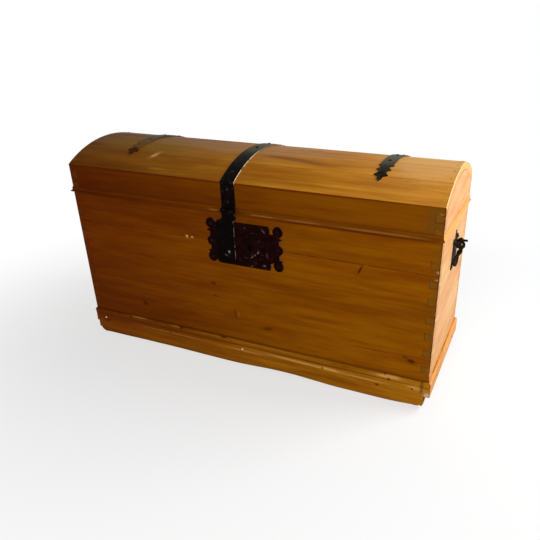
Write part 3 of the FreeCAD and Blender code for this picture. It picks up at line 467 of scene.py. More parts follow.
# ---------------------------------------------------------------- floor runners and base moulding
# Two pine runners carry the chest, and a mitred strip with a scratched groove is nailed over the
# joint above them. The runners' lower edges are worn hollow, the front one's left corner is knocked
# round, and the front of the left strip has broken off.

step_length = 0.014
long_in_steps = 10
runner_waver = 11
runner_wear = 0.0015
runner_hollows = ((0.135, 0.110, 0.0075), (0.560, 0.070, 0.0060), (-0.300, 0.160, 0.0025))
sole_zone = 0.005
toe_zone = 0.010
runner_end = -0.543
runner_reach = 0.0055
knocked_round = 0.012
knocked_cuts = (0.95, 0.75, 0.40, 0.0)
runner_rounding = 0.003
strip_waver = 14
strip_wear = 0.0012
strip_upper_edge = 0.080
strip_mitre_x = 0.545
strip_face_x = 0.5575
strip_face_y = 0.2000
strip_end = -0.5485
broken_at = (-0.554, -0.150, 0.063)
broken_facing = (0.5, -1, 0.4)
strip_rounding = 0.0018
quirk_height = 0.0700
quirk_half_width = 0.0013
quirk_depth = 0.0018


def divide_long_edges(shape, step):
    """Cuts the long edges into short steps, so that they can be worn unevenly."""
    long_edges = [edge for edge in shape.edges if edge.calc_length() > long_in_steps * step]
    cuts = int(max(edge.calc_length() for edge in long_edges) / step)
    bmesh.ops.subdivide_edges(shape, edges=long_edges, cuts=cuts, use_grid_fill=True)


def cut_across(shape, point, facing_way, drop_outer=False):
    """Cuts all of a shape along a plane; what lies beyond it can be dropped."""
    bmesh.ops.bisect_plane(shape, geom=shape.verts[:] + shape.edges[:] + shape.faces[:],
                           plane_co=point, plane_no=facing_way, clear_outer=drop_outer)


def cut_quirk(shape):
    """Scratches a fine groove along the moulding's outer face."""
    for height in (-quirk_half_width, 0.0, quirk_half_width):
        cut_across(shape, (0, 0, quirk_height + height), (0, 0, 1))
    for vert in shape.verts:
        on_end = abs(vert.co.x) > strip_face_x
        if abs(vert.co.z - quirk_height) > hair / 10 or not (
                on_end or vert.co.y < -strip_face_y):
            continue
        if abs(vert.co.y) > strip_face_y:
            vert.co.y += math.copysign(quirk_depth, -vert.co.y)
        if on_end:
            vert.co.x += math.copysign(quirk_depth, -vert.co.x)


strip_y = -0.2005
base_deep = (0.190, 0.062, 0.0010)
base_pale = (0.330, 0.135, 0.0060)
# Pale worn wood, also a painted highlight along the moulding's top edge and tier line and on the
# bead's nose.
worn_pale_and_highlight = (0.46, 0.230, 0.050)
low_marks = [
    ((-0.505, strip_y, 0.0500), (0.0150, 0.02, 0.0050), (0, 12, 0), wax_red_and_shadow, 0.7),
    ((0.550, strip_y, 0.0480), (0.0080, 0.02, 0.0070), straight, (0.50, 0.36, 0.22), 0.6),
    ((0.535, strip_y, 0.0700), (0.0050, 0.02, 0.0200), straight, knot_brown, 0.5),
    ((-0.200, strip_y, 0.0702), (0.340, 0.02, 0.0020), straight, wax_red_and_shadow, 0.60),
    ((0.330, strip_y, 0.0702), (0.200, 0.02, 0.0018), straight, wax_red_and_shadow, 0.45)]
# Red wax spots, and pale worn spots that also paint a highlight along the tier line and the top
# edge.
base_marks_and_highlights = [
    ((0.275, strip_y, 0.0590), (0.030, 0.02, 0.0040), (0, -2, 0), worn_pale_and_highlight, 0.8),
    ((0.190, strip_y, 0.0595), (0.110, 0.02, 0.0036), (0, -1, 0), worn_pale_and_highlight, 0.65),
    ((-0.375, strip_y, 0.0840), (0.030, 0.02, 0.0013), straight, worn_pale_and_highlight, 0.45),
    ((-0.235, strip_y, 0.0830), (0.020, 0.02, 0.0018), straight, (0.26, 0.13, 0.008), 0.60),
    ((-0.100, strip_y, 0.0820), (0.060, 0.02, 0.0022), (0, 1, 0), (0.24, 0.11, 0.006), 0.40),
    ((0.100, strip_y, 0.0815), (0.080, 0.02, 0.0024), straight, (0.28, 0.13, 0.010), 0.40),
    ((0.020, strip_y, 0.0540), (0.060, 0.02, 0.0018), straight, worn_pale_and_highlight, 0.45),
    ((-0.250, strip_y, 0.0570), (0.120, 0.02, 0.0014), straight, worn_pale_and_highlight, 0.30),
    ((0.380, strip_y, 0.0560), (0.060, 0.02, 0.0026), straight, worn_pale_and_highlight, 0.5),
    ((0.445, strip_y, 0.0800), (0.034, 0.02, 0.0050), (0, 3, 0), worn_pale_and_highlight, 0.85),
    ((0.520, strip_y, 0.0640), (0.024, 0.02, 0.0060), straight, worn_pale_and_highlight, 0.45),
    ((0.434, strip_y, 0.0865), (0.0035, 0.02, 0.0035), straight, wax_red_and_shadow, 0.95),
    ((0.446, strip_y, 0.0728), (0.0035, 0.02, 0.0040), straight, wax_red_and_shadow, 0.95),
    ((0.414, strip_y, 0.0463), (0.0050, 0.02, 0.0040), straight, wax_red_and_shadow, 0.8),
    ((-0.407, strip_y, 0.0800), (0.0040, 0.02, 0.0040), straight, wax_red_and_shadow, 0.9),
    ((-0.213, strip_y, 0.0835), (0.0060, 0.02, 0.0040), straight, wax_red_and_shadow, 0.9),
    ((-0.064, strip_y, 0.0840), (0.0100, 0.02, 0.0030), straight, wax_red_and_shadow, 0.8)] + low_marks
# Painted shade: how dark the left part of the moulding and runners is made.
base_left_shade = (0.55, 0.34, 0.25)
base_edge = waxed_pine("worn base edges", 19.0, base_deep, base_pale, rubbed=0.55,
                       marks=base_marks_and_highlights, left_shade=base_left_shade)
for node, seed in (("front_runner", 18.4), ("rear_runner", 20.1)):
    runner = copy_of(node)
    divide_long_edges(runner, step_length)
    for vert in runner.verts:
        if vert.co.z < sole_zone:
            wave = noise.noise(Vector((vert.co.x * runner_waver, seed, 0)))
            wear = runner_wear * (wave * 0.5 + 0.5)
            for middle, width, depth in runner_hollows:
                wear += depth * math.exp(-((vert.co.x - middle) / width) ** 2)
            vert.co.z += wear
    if node == "front_runner":
        for vert in runner.verts:
            if vert.co.x < runner_end + hair:
                vert.co.x -= runner_reach
        round_from = runner_end - runner_reach + knocked_round
        for share in knocked_cuts:
            cut_across(runner, (round_from - knocked_round * share, 0, 0), (1, 0, 0))
        for vert in runner.verts:
            share = (round_from - vert.co.x) / knocked_round
            if share > 0 and vert.co.z < toe_zone:
                vert.co.z += knocked_round * (1 - math.sqrt(max(0.0, 1 - min(1.0, share) ** 2)))
    soften(runner, lambda point: True, 1.0)
    finished(runner, node + "_log", "chest", node,
             [waxed_pine(node + " pine", seed, base_deep, base_pale, marks=low_marks,
                         left_shade=base_left_shade), base_edge], runner_rounding)

# Peach like the end boards, so partly painted light as well.
side_strip_deep = (0.60, 0.25, 0.055)
side_strip_pale = (0.78, 0.40, 0.12)
side_edge = waxed_pine("worn side edges", 22.0, end_deep, end_pale, along="y", rubbed=0.25,
                       end_wood=(0.30, 0.13, 0.03))
for node, seed, along in (("front_plinth", 21.7, "x"), ("left_plinth", 23.0, "y"),
                          ("right_plinth", 24.8, "y")):
    strip = copy_of(node)
    if node == "left_plinth":
        cut_across(strip, broken_at, broken_facing, drop_outer=True)
        bmesh.ops.holes_fill(strip, edges=[edge for edge in strip.edges if edge.is_boundary])
    if along == "x":
        divide_long_edges(strip, step_length)
    for vert in strip.verts:
        if abs(vert.co.x) < strip_mitre_x and vert.co.z > strip_upper_edge:
            wave = noise.noise(Vector((vert.co.x * strip_waver, vert.co.y * strip_waver, seed)))
            vert.co.z -= strip_wear * (wave * 0.5 + 0.5)
        if along == "x":
            vert.co.x = max(vert.co.x, strip_end)
    cut_quirk(strip)
    soften(strip, lambda point: True, 1.0)
    if along == "x":
        looks = [waxed_pine(node + " pine", seed, base_deep, base_pale, marks=base_marks_and_highlights,
                            left_shade=base_left_shade), base_edge]
    else:
        looks = [waxed_pine(node + " pine", seed, side_strip_deep, side_strip_pale, along="y"),
                 side_edge]
    finished(strip, node + "_strip", "chest", node, looks, strip_rounding)


# ---------------------------------------------------------------- lid frame
# The lid's front and back boards stand on the walls when it is shut, and D-shaped ends are
# dovetailed between them. They are of the same stained pine, darker on the front.

lid_deep = (0.118, 0.031, 0.0002)
lid_pale = (0.166, 0.050, 0.0004)
lid_edge = waxed_pine("worn lid edges", 27.0, lid_deep, lid_pale, rubbed=0.35, left_shade=front_left_shade)
lid_marks_and_shade = [
    ((0.541, front_y, 0.532), (0.005, 0.02, 0.003), (0, -30, 0), pale_chip, 0.6),
    ((0.530, front_y, 0.510), (0.022, 0.02, 0.045), straight, (0.112, 0.042, 0.005), 0.60),
    # Painted shade behind the hasp's hinge.
    ((-0.015, front_y, 0.4790), (0.019, 0.02, 0.009), straight, painted_hollow_shade, 1.0),
    ((-0.360, front_y, 0.549), (0.110, 0.02, 0.0030), straight, wax_red_and_shadow, 0.80),
    ((-0.140, front_y, 0.549), (0.130, 0.02, 0.0026), straight, wax_red_and_shadow, 0.65),
    ((0.230, front_y, 0.549), (0.240, 0.02, 0.0026), straight, wax_red_and_shadow, 0.65),
    ((0.000, front_y, 0.505), (0.090, 0.02, 0.0050), (0, 1, 0), wax_red_and_shadow, 0.20),
    ((0.300, front_y, 0.512), (0.100, 0.02, 0.0040), straight, wax_red_and_shadow, 0.15)]
for node, seed in (("lid_front_board", 26.0), ("lid_back_board", 28.3)):
    wood = waxed_pine(node + " pine", seed, lid_deep, lid_pale, figure=0.6, marks=lid_marks_and_shade,
                      left_shade=front_left_shade, end_wood=outer_end_wood)
    planed(node, node.replace("board", "plank"), "lid", wood, lid_edge)
for side, seed in (("left", 30.5), ("right", 31.9)):
    node = f"lid_{side}_end"
    wood = waxed_pine(node + " pine", seed, end_deep, end_pale, along="y", figure=0.6,
                      end_wood=pin_end_wood[side])
    planed(node, node + "_plank", "lid", wood, end_edge)


# ---------------------------------------------------------------- staves
# Five staves, rounded on top, are nailed over the lid's ends to make the barrel top. They catch
# the most light and handling, so they are paler than the walls.

stave_deep = (0.350, 0.130, 0.0080)
stave_pale = (0.560, 0.246, 0.0240)
# Painted shade: how dark the left part of the barrel top is made.
stave_left_shade = (0.26, 0.185, 0.003)
stave_end_wood = (0.70, 0.37, 0.145)
stave_rounding = 0.0016
stave_seam_share = 0.25
dome_marks_and_sheen = [
    ((0.127, -0.083, 0.600), (0.105, 0.010, 0.03), (0, 0, 8), (0.16, 0.045, 0.006), 0.6),
    ((0.474, -0.065, 0.604), (0.068, 0.0016, 0.03), straight, (0.16, 0.05, 0.008), 0.6),
    ((-0.2880, -0.124, 0.586), (0.016, 0.0066, 0.01), (0, 0, -62), (0.60, 0.33, 0.10), 0.70),
    ((-0.247, -0.176, 0.557), (0.030, 0.003, 0.02), straight, (0.34, 0.17, 0.01), 0.4),
    ((0.548, -0.063, 0.600), (0.004, 0.004, 0.02), straight, (0.10, 0.03, 0.006), 0.8),
    ((0.150, -0.176, 0.560), (0.200, 0.003, 0.02), straight, (0.20, 0.06, 0.002), 0.35),
    # The next two are painted sheen: pale patches on the crown in place of a reflection.
    ((0.480, -0.020, 0.600), (0.110, 0.110, 0.05), straight, (0.64, 0.38, 0.140), 0.45),
    ((-0.050, -0.030, 0.605), (0.330, 0.045, 0.03), straight, (0.38, 0.215, 0.105), 0.40),
    ((-0.350, -0.060, 0.600), (0.190, 0.060, 0.04), straight, (0.22, 0.105, 0.001), 0.45)]
# Where the rounded stave edges turn to the ends, a pale end grain paints a highlight.
stave_edge = waxed_pine("worn stave edges", 33.0, (0.12, 0.035, 0.001), (0.20, 0.07, 0.004),
                        sheen=0.0, left_shade=stave_left_shade, end_wood=(0.82, 0.56, 0.24),
                        end_reach=(0.25, 0.45))
stave_end_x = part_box("lid_stave_1")[1][0] - hair / 2
for number, seed in enumerate((34.2, 35.7, 37.1, 38.8, 40.3), start=1):
    node = f"lid_stave_{number}"
    stave = copy_of(node)
    soften(stave, lambda point: abs(point.x) > stave_end_x, stave_seam_share)
    finished(stave, node.replace("lid_", "top_"), "lid", node,
             [waxed_pine(node + " pine", seed, stave_deep, stave_pale, gloss=0.40, sheen=0.010,
                         figure=0.5, marks=dome_marks_and_sheen, left_shade=stave_left_shade,
                         end_wood=stave_end_wood), stave_edge], stave_rounding)


# ---------------------------------------------------------------- bead
# A small rounded bead, planed from pine and glued to the lid, covers the joint between lid and
# walls on the front and the ends. It is a little crooked and chipped.

bead_waver = 8
bead_sway = 0.0009
bead_free = (0.05, 0.53)
bead_nose = 0.4732
bead_top = 0.4762
bead_flattened = 0.80
bead_rounding = 0.0012
# Peach like the end boards, so partly painted light as well.
side_bead_deep = (0.66, 0.28, 0.060)
side_bead_pale = (0.82, 0.44, 0.14)
# Painted shadow along the bead's lower edge.
bead_shadows_and_highlights = [((x, -0.197, 0.4655), (reach, 0.02, 0.0030), straight, wax_red_and_shadow, 0.9)
              for x, reach in ((-0.4095, 0.008), (-0.349, 0.011), (-0.289, 0.006),
                               (-0.217, 0.008), (-0.151, 0.012), (-0.0925, 0.016),
                               (0.060, 0.020), (0.240, 0.030), (0.420, 0.040))]
# Painted highlight along the bead's nose, with some wear.
bead_shadows_and_highlights += [((x, -0.199, 0.4745), (reach, 0.02, 0.0018), straight, worn_pale_and_highlight, 0.25)
               for x, reach in ((0.085, 0.040), (0.200, 0.050), (0.400, 0.120), (-0.060, 0.016))]
# Painted shade behind the hasp's hinge.
bead_shadows_and_highlights.append(((-0.015, -0.197, 0.4775), (0.026, 0.02, 0.012), straight, painted_hollow_shade, 1.0))
for node, seed, along in (("lid_front_bead_left", 42.0, "x"), ("lid_front_bead_right", 43.3, "x"),
                          ("lid_left_bead", 44.7, "y"), ("lid_right_bead", 45.9, "y")):
    bead = copy_of(node)
    divide_long_edges(bead, step_length)
    for vert in bead.verts:
        if along == "x" and bead_free[0] < abs(vert.co.x) < bead_free[1]:
            wave = noise.noise(Vector((vert.co.x * bead_waver, seed, 0.5)))
            vert.co.z += bead_sway * wave
        share = min(1.0, max(0.0, (vert.co.z - bead_nose) / (bead_top - bead_nose)))
        kept = 1.0 - bead_flattened * share
        if vert.co.y < front_y:
            vert.co.y = front_y + (vert.co.y - front_y) * kept
        if abs(vert.co.x) > end_x:
            vert.co.x = math.copysign(end_x + (abs(vert.co.x) - end_x) * kept, vert.co.x)
    soften(bead, lambda point: True, 1.0)
    if along == "x":
        looks = [waxed_pine(node + " pine", seed, lid_deep, lid_pale, figure=0.6,
                            marks=bead_shadows_and_highlights, left_shade=front_left_shade), lid_edge]
    else:
        looks = [waxed_pine(node + " pine", seed, side_bead_deep, side_bead_pale, along="y"),
                 side_edge]
    finished(bead, node.replace("lid_", "") + "_strip", "lid", node, looks,
             bead_rounding)


# ---------------------------------------------------------------- hinge straps
# Long iron straps, forged flat and ending in barbed points, run over the barrel top and turn on
# pins in short leaves at the back. Square nails hold them. They are black, except the left strap,
# whose brown is partly wax and rust and partly a painted reflection of its sheen.

iron_rounding = 0.0007
iron_gloss = 0.42
iron_sheen = 0.012
scale_per_metre = 34.0
scale_reach = (0.42, 0.68)
rust_per_metre = 60.0
rust_reach = (0.55, 0.72)
pits_per_metre = 240.0
pit_reach = (0.55, 0.72)
pit_height = -0.35
pit_dullness = 0.25
scratch_scale = (60.0, 60.0, 900.0)
scratch_turn = (0.4, 0.9, 0.3)
scratch_reach = (0.66, 0.72)
rubbing_per_metre = 18.0
rubbing_reach = (0.50, 0.62)
side_highlight_reach = (0.30, 0.60)
wear_per_metre = 90.0
hammer_per_metre = 95.0
iron_relief = 0.5
iron_depth = 0.0010
rust_brown = (0.030, 0.006, 0.003, 1)
scratch_bright = (0.20, 0.18, 0.16, 1)
side_highlight_fade = 0.006


def forged_iron(name, seed, dark=(0.004, 0.002, 0.001), bloom=(0.009, 0.006, 0.005), rust=0.35,
                metal=0.04, scratched=0.4, worn_side_and_highlight=None, side_highlight_above=-1.0,
                worn_through=(0.34, 0.50), marks=()):
    """Forged and blackened iron: scale, a paler bloom, patches of rust, pits and scratches."""
    material, tree = new_finish(name)
    where = add(tree, "ShaderNodeTexCoord")
    place = stretched(tree, where.outputs["Object"], (1.0, 1.0, 1.0), (seed, seed * 0.37, 0.0))
    scale_patches = between(tree, cloud(tree, place, scale_per_metre, 4.0, 0.6), *scale_reach)
    colour = blend_colour(tree, scale_patches, (*dark, 1), (*bloom, 1))
    pits = between(tree, cloud(tree, place, pits_per_metre, 4.0, 0.65), *pit_reach)
    red = between(tree, cloud(tree, place, rust_per_metre, 4.0, 0.7), *rust_reach)
    colour = blend_colour(tree, maths(tree, "MULTIPLY", red, rust), colour, rust_brown)
    lines = cloud(tree, stretched(tree, place, scratch_scale, turn=scratch_turn), 1.0, 2.0)
    scratches = maths(tree, "MULTIPLY", between(tree, lines, *scratch_reach),
                      between(tree, cloud(tree, place, rubbing_per_metre), *rubbing_reach))
    colour = blend_colour(tree, maths(tree, "MULTIPLY", scratches, scratched), colour,
                          scratch_bright)
    # Painted highlight, broken by wear, on the faces turned towards +X above a given height.
    if worn_side_and_highlight:
        side = facing(tree, where.outputs["Normal"], (1.0, 0.0, 0.0), *side_highlight_reach)
        high = add(tree, "ShaderNodeSeparateXYZ", {0: where.outputs["Object"]}).outputs[2]
        broken = between(tree, cloud(tree, place, wear_per_metre, 3.0), *worn_through)
        amount = maths(tree, "MULTIPLY", maths(tree, "MULTIPLY", side, broken),
                       between(tree, high, side_highlight_above, side_highlight_above + side_highlight_fade))
        colour = blend_colour(tree, amount, colour, (*worn_side_and_highlight, 1))
    colour = with_marks(tree, where.outputs["Object"], colour, marks)
    hammered = add(tree, "ShaderNodeTexVoronoi", {"Vector": place, "Scale": hammer_per_metre},
                   feature="SMOOTH_F1").outputs["Distance"]
    height = maths(tree, "ADD", hammered, maths(tree, "MULTIPLY", pits, pit_height))
    bump = add(tree, "ShaderNodeBump", {"Height": height, "Strength": iron_relief,
                                        "Distance": iron_depth})
    iron = add(tree, "ShaderNodeBsdfPrincipled", {
        "Base Color": colour, "Metallic": metal, "Specular IOR Level": iron_sheen,
        "Roughness": maths(tree, "ADD", iron_gloss, maths(
            tree, "MULTIPLY", pits, pit_dullness)),
        "Normal": bump.outputs[0]})
    add(tree, "ShaderNodeOutputMaterial", {0: iron.outputs[0]})
    return material


def forged(node, body, material, rounding=iron_rounding):
    """An iron piece with its edges dressed by the hammer."""
    shape = copy_of(node)
    soften(shape, lambda point: True, 1.0)
    finished(shape, node + "_iron", body, node, [material, material], rounding,
             segments=2)


def carried_over(node, material):
    """A made piece whose shape is right as it is gets its finish here."""
    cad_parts[node].data.materials.clear()
    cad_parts[node].data.materials.append(material)


nail_iron = forged_iron("nail iron", 2.0, dark=(0.008, 0.007, 0.007), bloom=(0.026, 0.026, 0.028))
hinge_iron = forged_iron("hinge iron", 3.0)
left_strap_tip_and_sheen = [
    ((-0.372, -0.120, 0.585), (0.030, 0.018, 0.03), straight, (0.036, 0.004, 0.001), 0.95),
    # Painted sheen: a grey patch where the strap crosses the crown.
    ((-0.372, 0.020, 0.610), (0.030, 0.080, 0.04), straight, (0.055, 0.044, 0.026), 0.90)]
# Painted sheen: a grey patch where the strap crosses the crown.
right_strap_crown_sheen = [
    ((0.372, 0.020, 0.610), (0.060, 0.090, 0.04), straight, (0.090, 0.082, 0.050), 0.60)]
# Its brown is partly rust and wax, partly a painted reflection of its sheen.
left_strap_rust_and_sheen = forged_iron("left strap iron", 1.5, dark=(0.105, 0.042, 0.005),
                               bloom=(0.160, 0.070, 0.010), rust=0.1, metal=0.0, scratched=0.0,
                               marks=left_strap_tip_and_sheen)
right_strap_black = forged_iron("right strap iron", 1.0, bloom=(0.036, 0.036, 0.030),
                                marks=right_strap_crown_sheen)
for side, strap_iron, strap_nail in (("left", left_strap_rust_and_sheen, left_strap_rust_and_sheen),
                                     ("right", right_strap_black, nail_iron)):
    forged(side + "_hinge_strap", "lid", strap_iron)
    forged(side + "_hinge_leaf", "chest", hinge_iron)
    carried_over(side + "_hinge_strap_nails", strap_nail)
    carried_over(side + "_hinge_pin", hinge_iron)
carried_over("hinge_leaf_nails", nail_iron)


# ---------------------------------------------------------------- small nails
# Small iron nails hold the staves and the moulding. Those in the staves are punched in and
# stopped with brown wax; those in the moulding have rusted, and two are rubbed bright.

# Painted shade: the nails in the left of the top are darkened like the staves around them.
stopped_nails_left_shade = [
    ((-0.550, 0.0, 0.580), (0.100, 0.250, 0.100), straight, (0.120, 0.042, 0.004), 1.0)]
rubbed_marks = [((x, strip_y, 0.059), (0.004, 0.02, 0.003), straight, (0.75, 0.55, 0.40), 0.95)
                for x in (-0.510, 0.0)]
stopped_nail = forged_iron("stopped nails", 2.5, dark=(0.34, 0.16, 0.030),
                           bloom=(0.46, 0.23, 0.050), rust=0.0, metal=0.0, scratched=0.0,
                           marks=stopped_nails_left_shade)
rusty_nail = forged_iron("rusty nails", 2.7, dark=(0.10, 0.030, 0.006),
                         bloom=(0.16, 0.06, 0.015), metal=0.2, marks=rubbed_marks)
carried_over("stave_nails", stopped_nail)
carried_over("plinth_nails", rusty_nail)


# ---------------------------------------------------------------- centre strap and hasp
# The middle strap, of forged iron too, comes over the top and down the lid's front. The hasp
# hangs from it on a pin and drops over the lock plate, with its staple riveted in behind.

# Painted sheen: a grey patch where the centre strap crosses the crown.
strap_crown_sheen = [
    ((-0.015, 0.0, 0.612), (0.060, 0.075, 0.03), straight, (0.070, 0.064, 0.036), 0.75)]
hasp_marks = [
    ((-0.0192, -0.199, 0.3634), (0.0020, 0.01, 0.0020), straight, (0.24, 0.22, 0.20), 0.9),
    ((-0.0297, -0.199, 0.3515), (0.0045, 0.01, 0.0014), (0, -20, 0), (0.07, 0.06, 0.05), 0.8)]
# The strap's sides facing +X on the top carry a painted highlight, broken by wear.
strap_black = forged_iron("strap iron", 1.0, dark=(0.002, 0.001, 0.0008),
                          bloom=(0.005, 0.003, 0.0025), worn_side_and_highlight=(0.62, 0.44, 0.30),
                          side_highlight_above=0.545, marks=strap_crown_sheen)
# The hasp's sides facing +X carry a dimmer painted highlight, broken by wear.
hasp_black = forged_iron("hasp iron", 4.0, dark=(0.0015, 0.0008, 0.0006),
                         bloom=(0.003, 0.002, 0.002), rust=0.1, scratched=0.2,
                         worn_side_and_highlight=(0.13, 0.11, 0.09), worn_through=(0.46, 0.56),
                         marks=hasp_marks)
forged("centre_strap", "lid", strap_black)
forged("hasp_leaf", "hasp", hasp_black)
carried_over("centre_strap_nails", nail_iron)
carried_over("hasp_pin", hasp_black)
carried_over("hasp_staple", hasp_black)


# ---------------------------------------------------------------- lock
# A lobed plate of black iron, nailed over the lock's case, with a keyhole and a slot for the
# staple. It is scratched by keys and has a brown tint of old rust.

scratch_grey = (0.13, 0.11, 0.10)
plate_marks_and_shade = [
    # Painted shade in the keyhole and the staple slot.
    ((0.0420, -0.1945, 0.3800), (0.0080, 0.01, 0.0150), straight, painted_hollow_shade, 1.0),
    ((-0.0262, -0.1945, 0.3900), (0.0030, 0.01, 0.0600), straight, painted_hollow_shade, 1.0),
    ((0.0480, -0.1955, 0.3555), (0.0036, 0.01, 0.0013), (0, 40, 0), scratch_grey, 0.9),
    ((0.0575, -0.1955, 0.3625), (0.0030, 0.01, 0.0012), (0, 40, 0), scratch_grey, 0.8),
    ((0.0670, -0.1955, 0.3706), (0.0018, 0.01, 0.0032), (0, -30, 0), scratch_grey, 0.9),
    ((0.0939, -0.1955, 0.3670), (0.0026, 0.01, 0.0070), (0, 8, 0), (0.030, 0.024, 0.022), 0.8),
    ((0.0293, -0.1955, 0.4390), (0.0018, 0.01, 0.0050), straight, (0.06, 0.05, 0.05), 0.8),
    ((0.0848, -0.1955, 0.3361), (0.0035, 0.01, 0.0020), straight, scratch_grey, 0.7),
    ((0.0470, -0.1955, 0.3290), (0.0040, 0.01, 0.0014), straight, (0.10, 0.06, 0.05), 0.7),
    ((0.0850, -0.1955, 0.4330), (0.0060, 0.01, 0.0012), (0, -45, 0), scratch_grey, 0.5)]
# The plate's sides facing +X carry a painted highlight, broken by wear.
plate_black = forged_iron("lock plate iron", 5.0, dark=(0.005, 0.0006, 0.0004),
                          bloom=(0.009, 0.0016, 0.0010), rust=0.5, scratched=0.25,
                          worn_side_and_highlight=(0.13, 0.07, 0.04), marks=plate_marks_and_shade)
plate_nail = forged_iron("plate nail iron", 5.5, bloom=(0.012, 0.008, 0.008))
plate_middle = (0.023, 0.3855)
lobe_out = 0.104
lobe_up = 0.050
lobe_reach = 0.0150
lobe_fuller = 1.13
low_lobes_raised = 0.0045
left_drawn_in = 0.006
drawn_from = 0.082
drawn_over = 0.008
nail_rounding = 0.0002


def cut_by_eye(point):
    """The smith cut the outline by eye: fuller lobes, the left side drawn in, low lobes raised."""
    out = point.x - plate_middle[0]
    rise = point.z - plate_middle[1]
    for side in (-1, 1):
        for level in (-1, 1):
            lobe = Vector((out - side * lobe_out, rise - level * lobe_up))
            if lobe.length < lobe_reach:
                out = side * lobe_out + lobe.x * lobe_fuller
                rise = level * lobe_up + lobe.y * lobe_fuller
                if level < 0:
                    rise += low_lobes_raised
    if out < 0:
        out += left_drawn_in * min(1.0, max(0.0, (-out - drawn_from) / drawn_over))
    point.x = plate_middle[0] + out
    point.z = plate_middle[1] + rise


for node, slot, material, rounding in (
        ("lock_plate", "lock_iron", plate_black, iron_rounding),
        ("lock_plate_nails", "forged_nails", plate_nail, nail_rounding)):
    shape = copy_of(node)
    for vert in shape.verts:
        cut_by_eye(vert.co)
    soften(shape, lambda point: True, 1.0)
    finished(shape, node + "_iron", "chest", node, [material, material], rounding,
             segments=2)
for node in ("lock_case", "lock_spring"):
    carried_over(node, plate_black)
carried_over("lock_bolt", nail_iron)


# ---------------------------------------------------------------- handles
# A drop handle on each end, forged from black iron. Two cotter eyes go through a nailed back
# plate and the board, and the bail swings in them.

thin_plate_rounding = 0.0005
handle_black = forged_iron("handle iron", 6.0, dark=(0.010, 0.007, 0.005),
                           bloom=(0.030, 0.024, 0.018))
for side in ("left", "right"):
    forged(side + "_handle_plate", "chest", handle_black,
           rounding=thin_plate_rounding)
    carried_over(side + "_handle_eyes", handle_black)
    carried_over(side + "_handle_bail", handle_black)
    carried_over(side + "_handle_nails", nail_iron)


# ---------------------------------------------------------------- studio
# A plain pale floor of matt paper that fades to white away from the chest, two soft lamps and an
# even sky, and the camera.

floor_half = 14.0
paper_grey = (0.86, 0.86, 0.86, 1)
plain_white = (1.0, 1.0, 1.0, 1)
fade_from = 0.55
fade_to = 1.5
least_white = 0.60
sky_strength = 0.26
floor_shape = bmesh.new()
bmesh.ops.create_grid(floor_shape, x_segments=1, y_segments=1, size=floor_half)
floor_mesh = bpy.data.meshes.new("floor")
floor_shape.to_mesh(floor_mesh)
floor_shape.free()
floor = bpy.data.objects.new("floor", floor_mesh)
bpy.context.scene.collection.objects.link(floor)


def seen_directly(tree):
    """1 for rays that come from the camera or from a mirror-like surface."""
    path = add(tree, "ShaderNodeLightPath")
    return maths(tree, "MAXIMUM", path.outputs["Is Camera Ray"], maths(
        tree, "MAXIMUM", path.outputs["Is Glossy Ray"], path.outputs["Is Transmission Ray"]))


floor_paint, tree = new_finish("floor paint")
spot = add(tree, "ShaderNodeTexCoord").outputs["Object"]
distance = add(tree, "ShaderNodeVectorMath", {0: spot}, operation="LENGTH").outputs["Value"]
whiteness = add(tree, "ShaderNodeMapRange", {0: distance, 1: fade_from, 2: fade_to,
                                             3: least_white, 4: 1.0},
                interpolation_type="SMOOTHSTEP").outputs[0]
matt = add(tree, "ShaderNodeBsdfDiffuse", {"Color": paper_grey})
white = add(tree, "ShaderNodeEmission", {"Color": plain_white, "Strength": 1.0})
paint = add(tree, "ShaderNodeMixShader", {
    0: maths(tree, "MULTIPLY", seen_directly(tree), whiteness),
    1: matt.outputs[0], 2: white.outputs[0]})
add(tree, "ShaderNodeOutputMaterial", {0: paint.outputs[0]})
floor_mesh.materials.append(floor_paint)

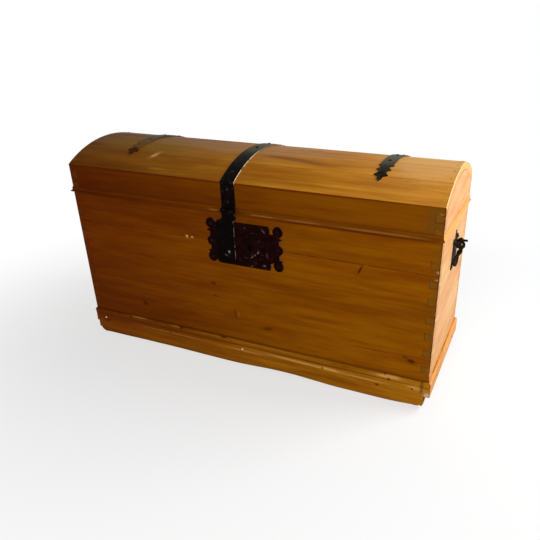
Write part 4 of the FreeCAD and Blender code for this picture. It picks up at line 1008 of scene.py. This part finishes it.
world = bpy.data.worlds.new("soft light")
world.use_nodes = True
bpy.context.scene.world = world
tree = world.node_tree
tree.nodes.clear()
strength = add(tree, "ShaderNodeMix", {0: seen_directly(tree), 2: sky_strength, 3: 1.0},
               data_type="FLOAT").outputs[0]
sky = add(tree, "ShaderNodeBackground", {"Color": plain_white, "Strength": strength})
add(tree, "ShaderNodeOutputWorld", {0: sky.outputs[0]})


def lamp(name, place, target, size, power):
    """A soft square lamp that looks at a point and isn't mirrored in the wax."""
    light = bpy.data.lights.new(name, "AREA")
    light.size = size
    light.energy = power
    holder = bpy.data.objects.new(name, light)
    bpy.context.scene.collection.objects.link(holder)
    holder.location = place
    holder.visible_glossy = False
    aim = Vector(target) - Vector(place)
    holder.rotation_euler = aim.to_track_quat("-Z", "Y").to_euler()


lamp("window lamp", place=(1.50, 0.45, 1.40), target=(0.3, 0.0, 0.45), size=0.9, power=27)
lamp("room lamp", place=(1.2, -3.0, 1.3), target=(0.0, 0.0, 0.25), size=2.0, power=78)

# The camera: the focal length and the middle are in pixels of a square picture of 540.
image_size = 540
sensor = 36.0
focal = 526.903
middle_x = 333.349
middle_y = 287.230
yaw = math.radians(21.4671)
pitch = math.radians(25.1862)
roll = math.radians(0.6674)
eye_point = (0.732239, -1.336834, 0.886604)
camera_data = bpy.data.cameras.new("camera")
camera = bpy.data.objects.new("camera", camera_data)
bpy.context.scene.collection.objects.link(camera)
forward = Vector((-math.sin(yaw) * math.cos(pitch), math.cos(yaw) * math.cos(pitch),
                  -math.sin(pitch)))
level = Vector((math.cos(yaw), math.sin(yaw), 0))
upright = level.cross(forward)
right = level * math.cos(roll) + upright * math.sin(roll)
up = upright * math.cos(roll) - level * math.sin(roll)
camera.matrix_world = Matrix.Translation(eye_point) @ Matrix(
    (right, up, -forward)).transposed().to_4x4()
camera_data.sensor_width = sensor
camera_data.lens = focal / image_size * sensor
camera_data.shift_x = (image_size / 2 - middle_x) / image_size
camera_data.shift_y = (middle_y - image_size / 2) / image_size
bpy.context.scene.camera = camera
bpy.context.scene.view_settings.view_transform = "Standard"
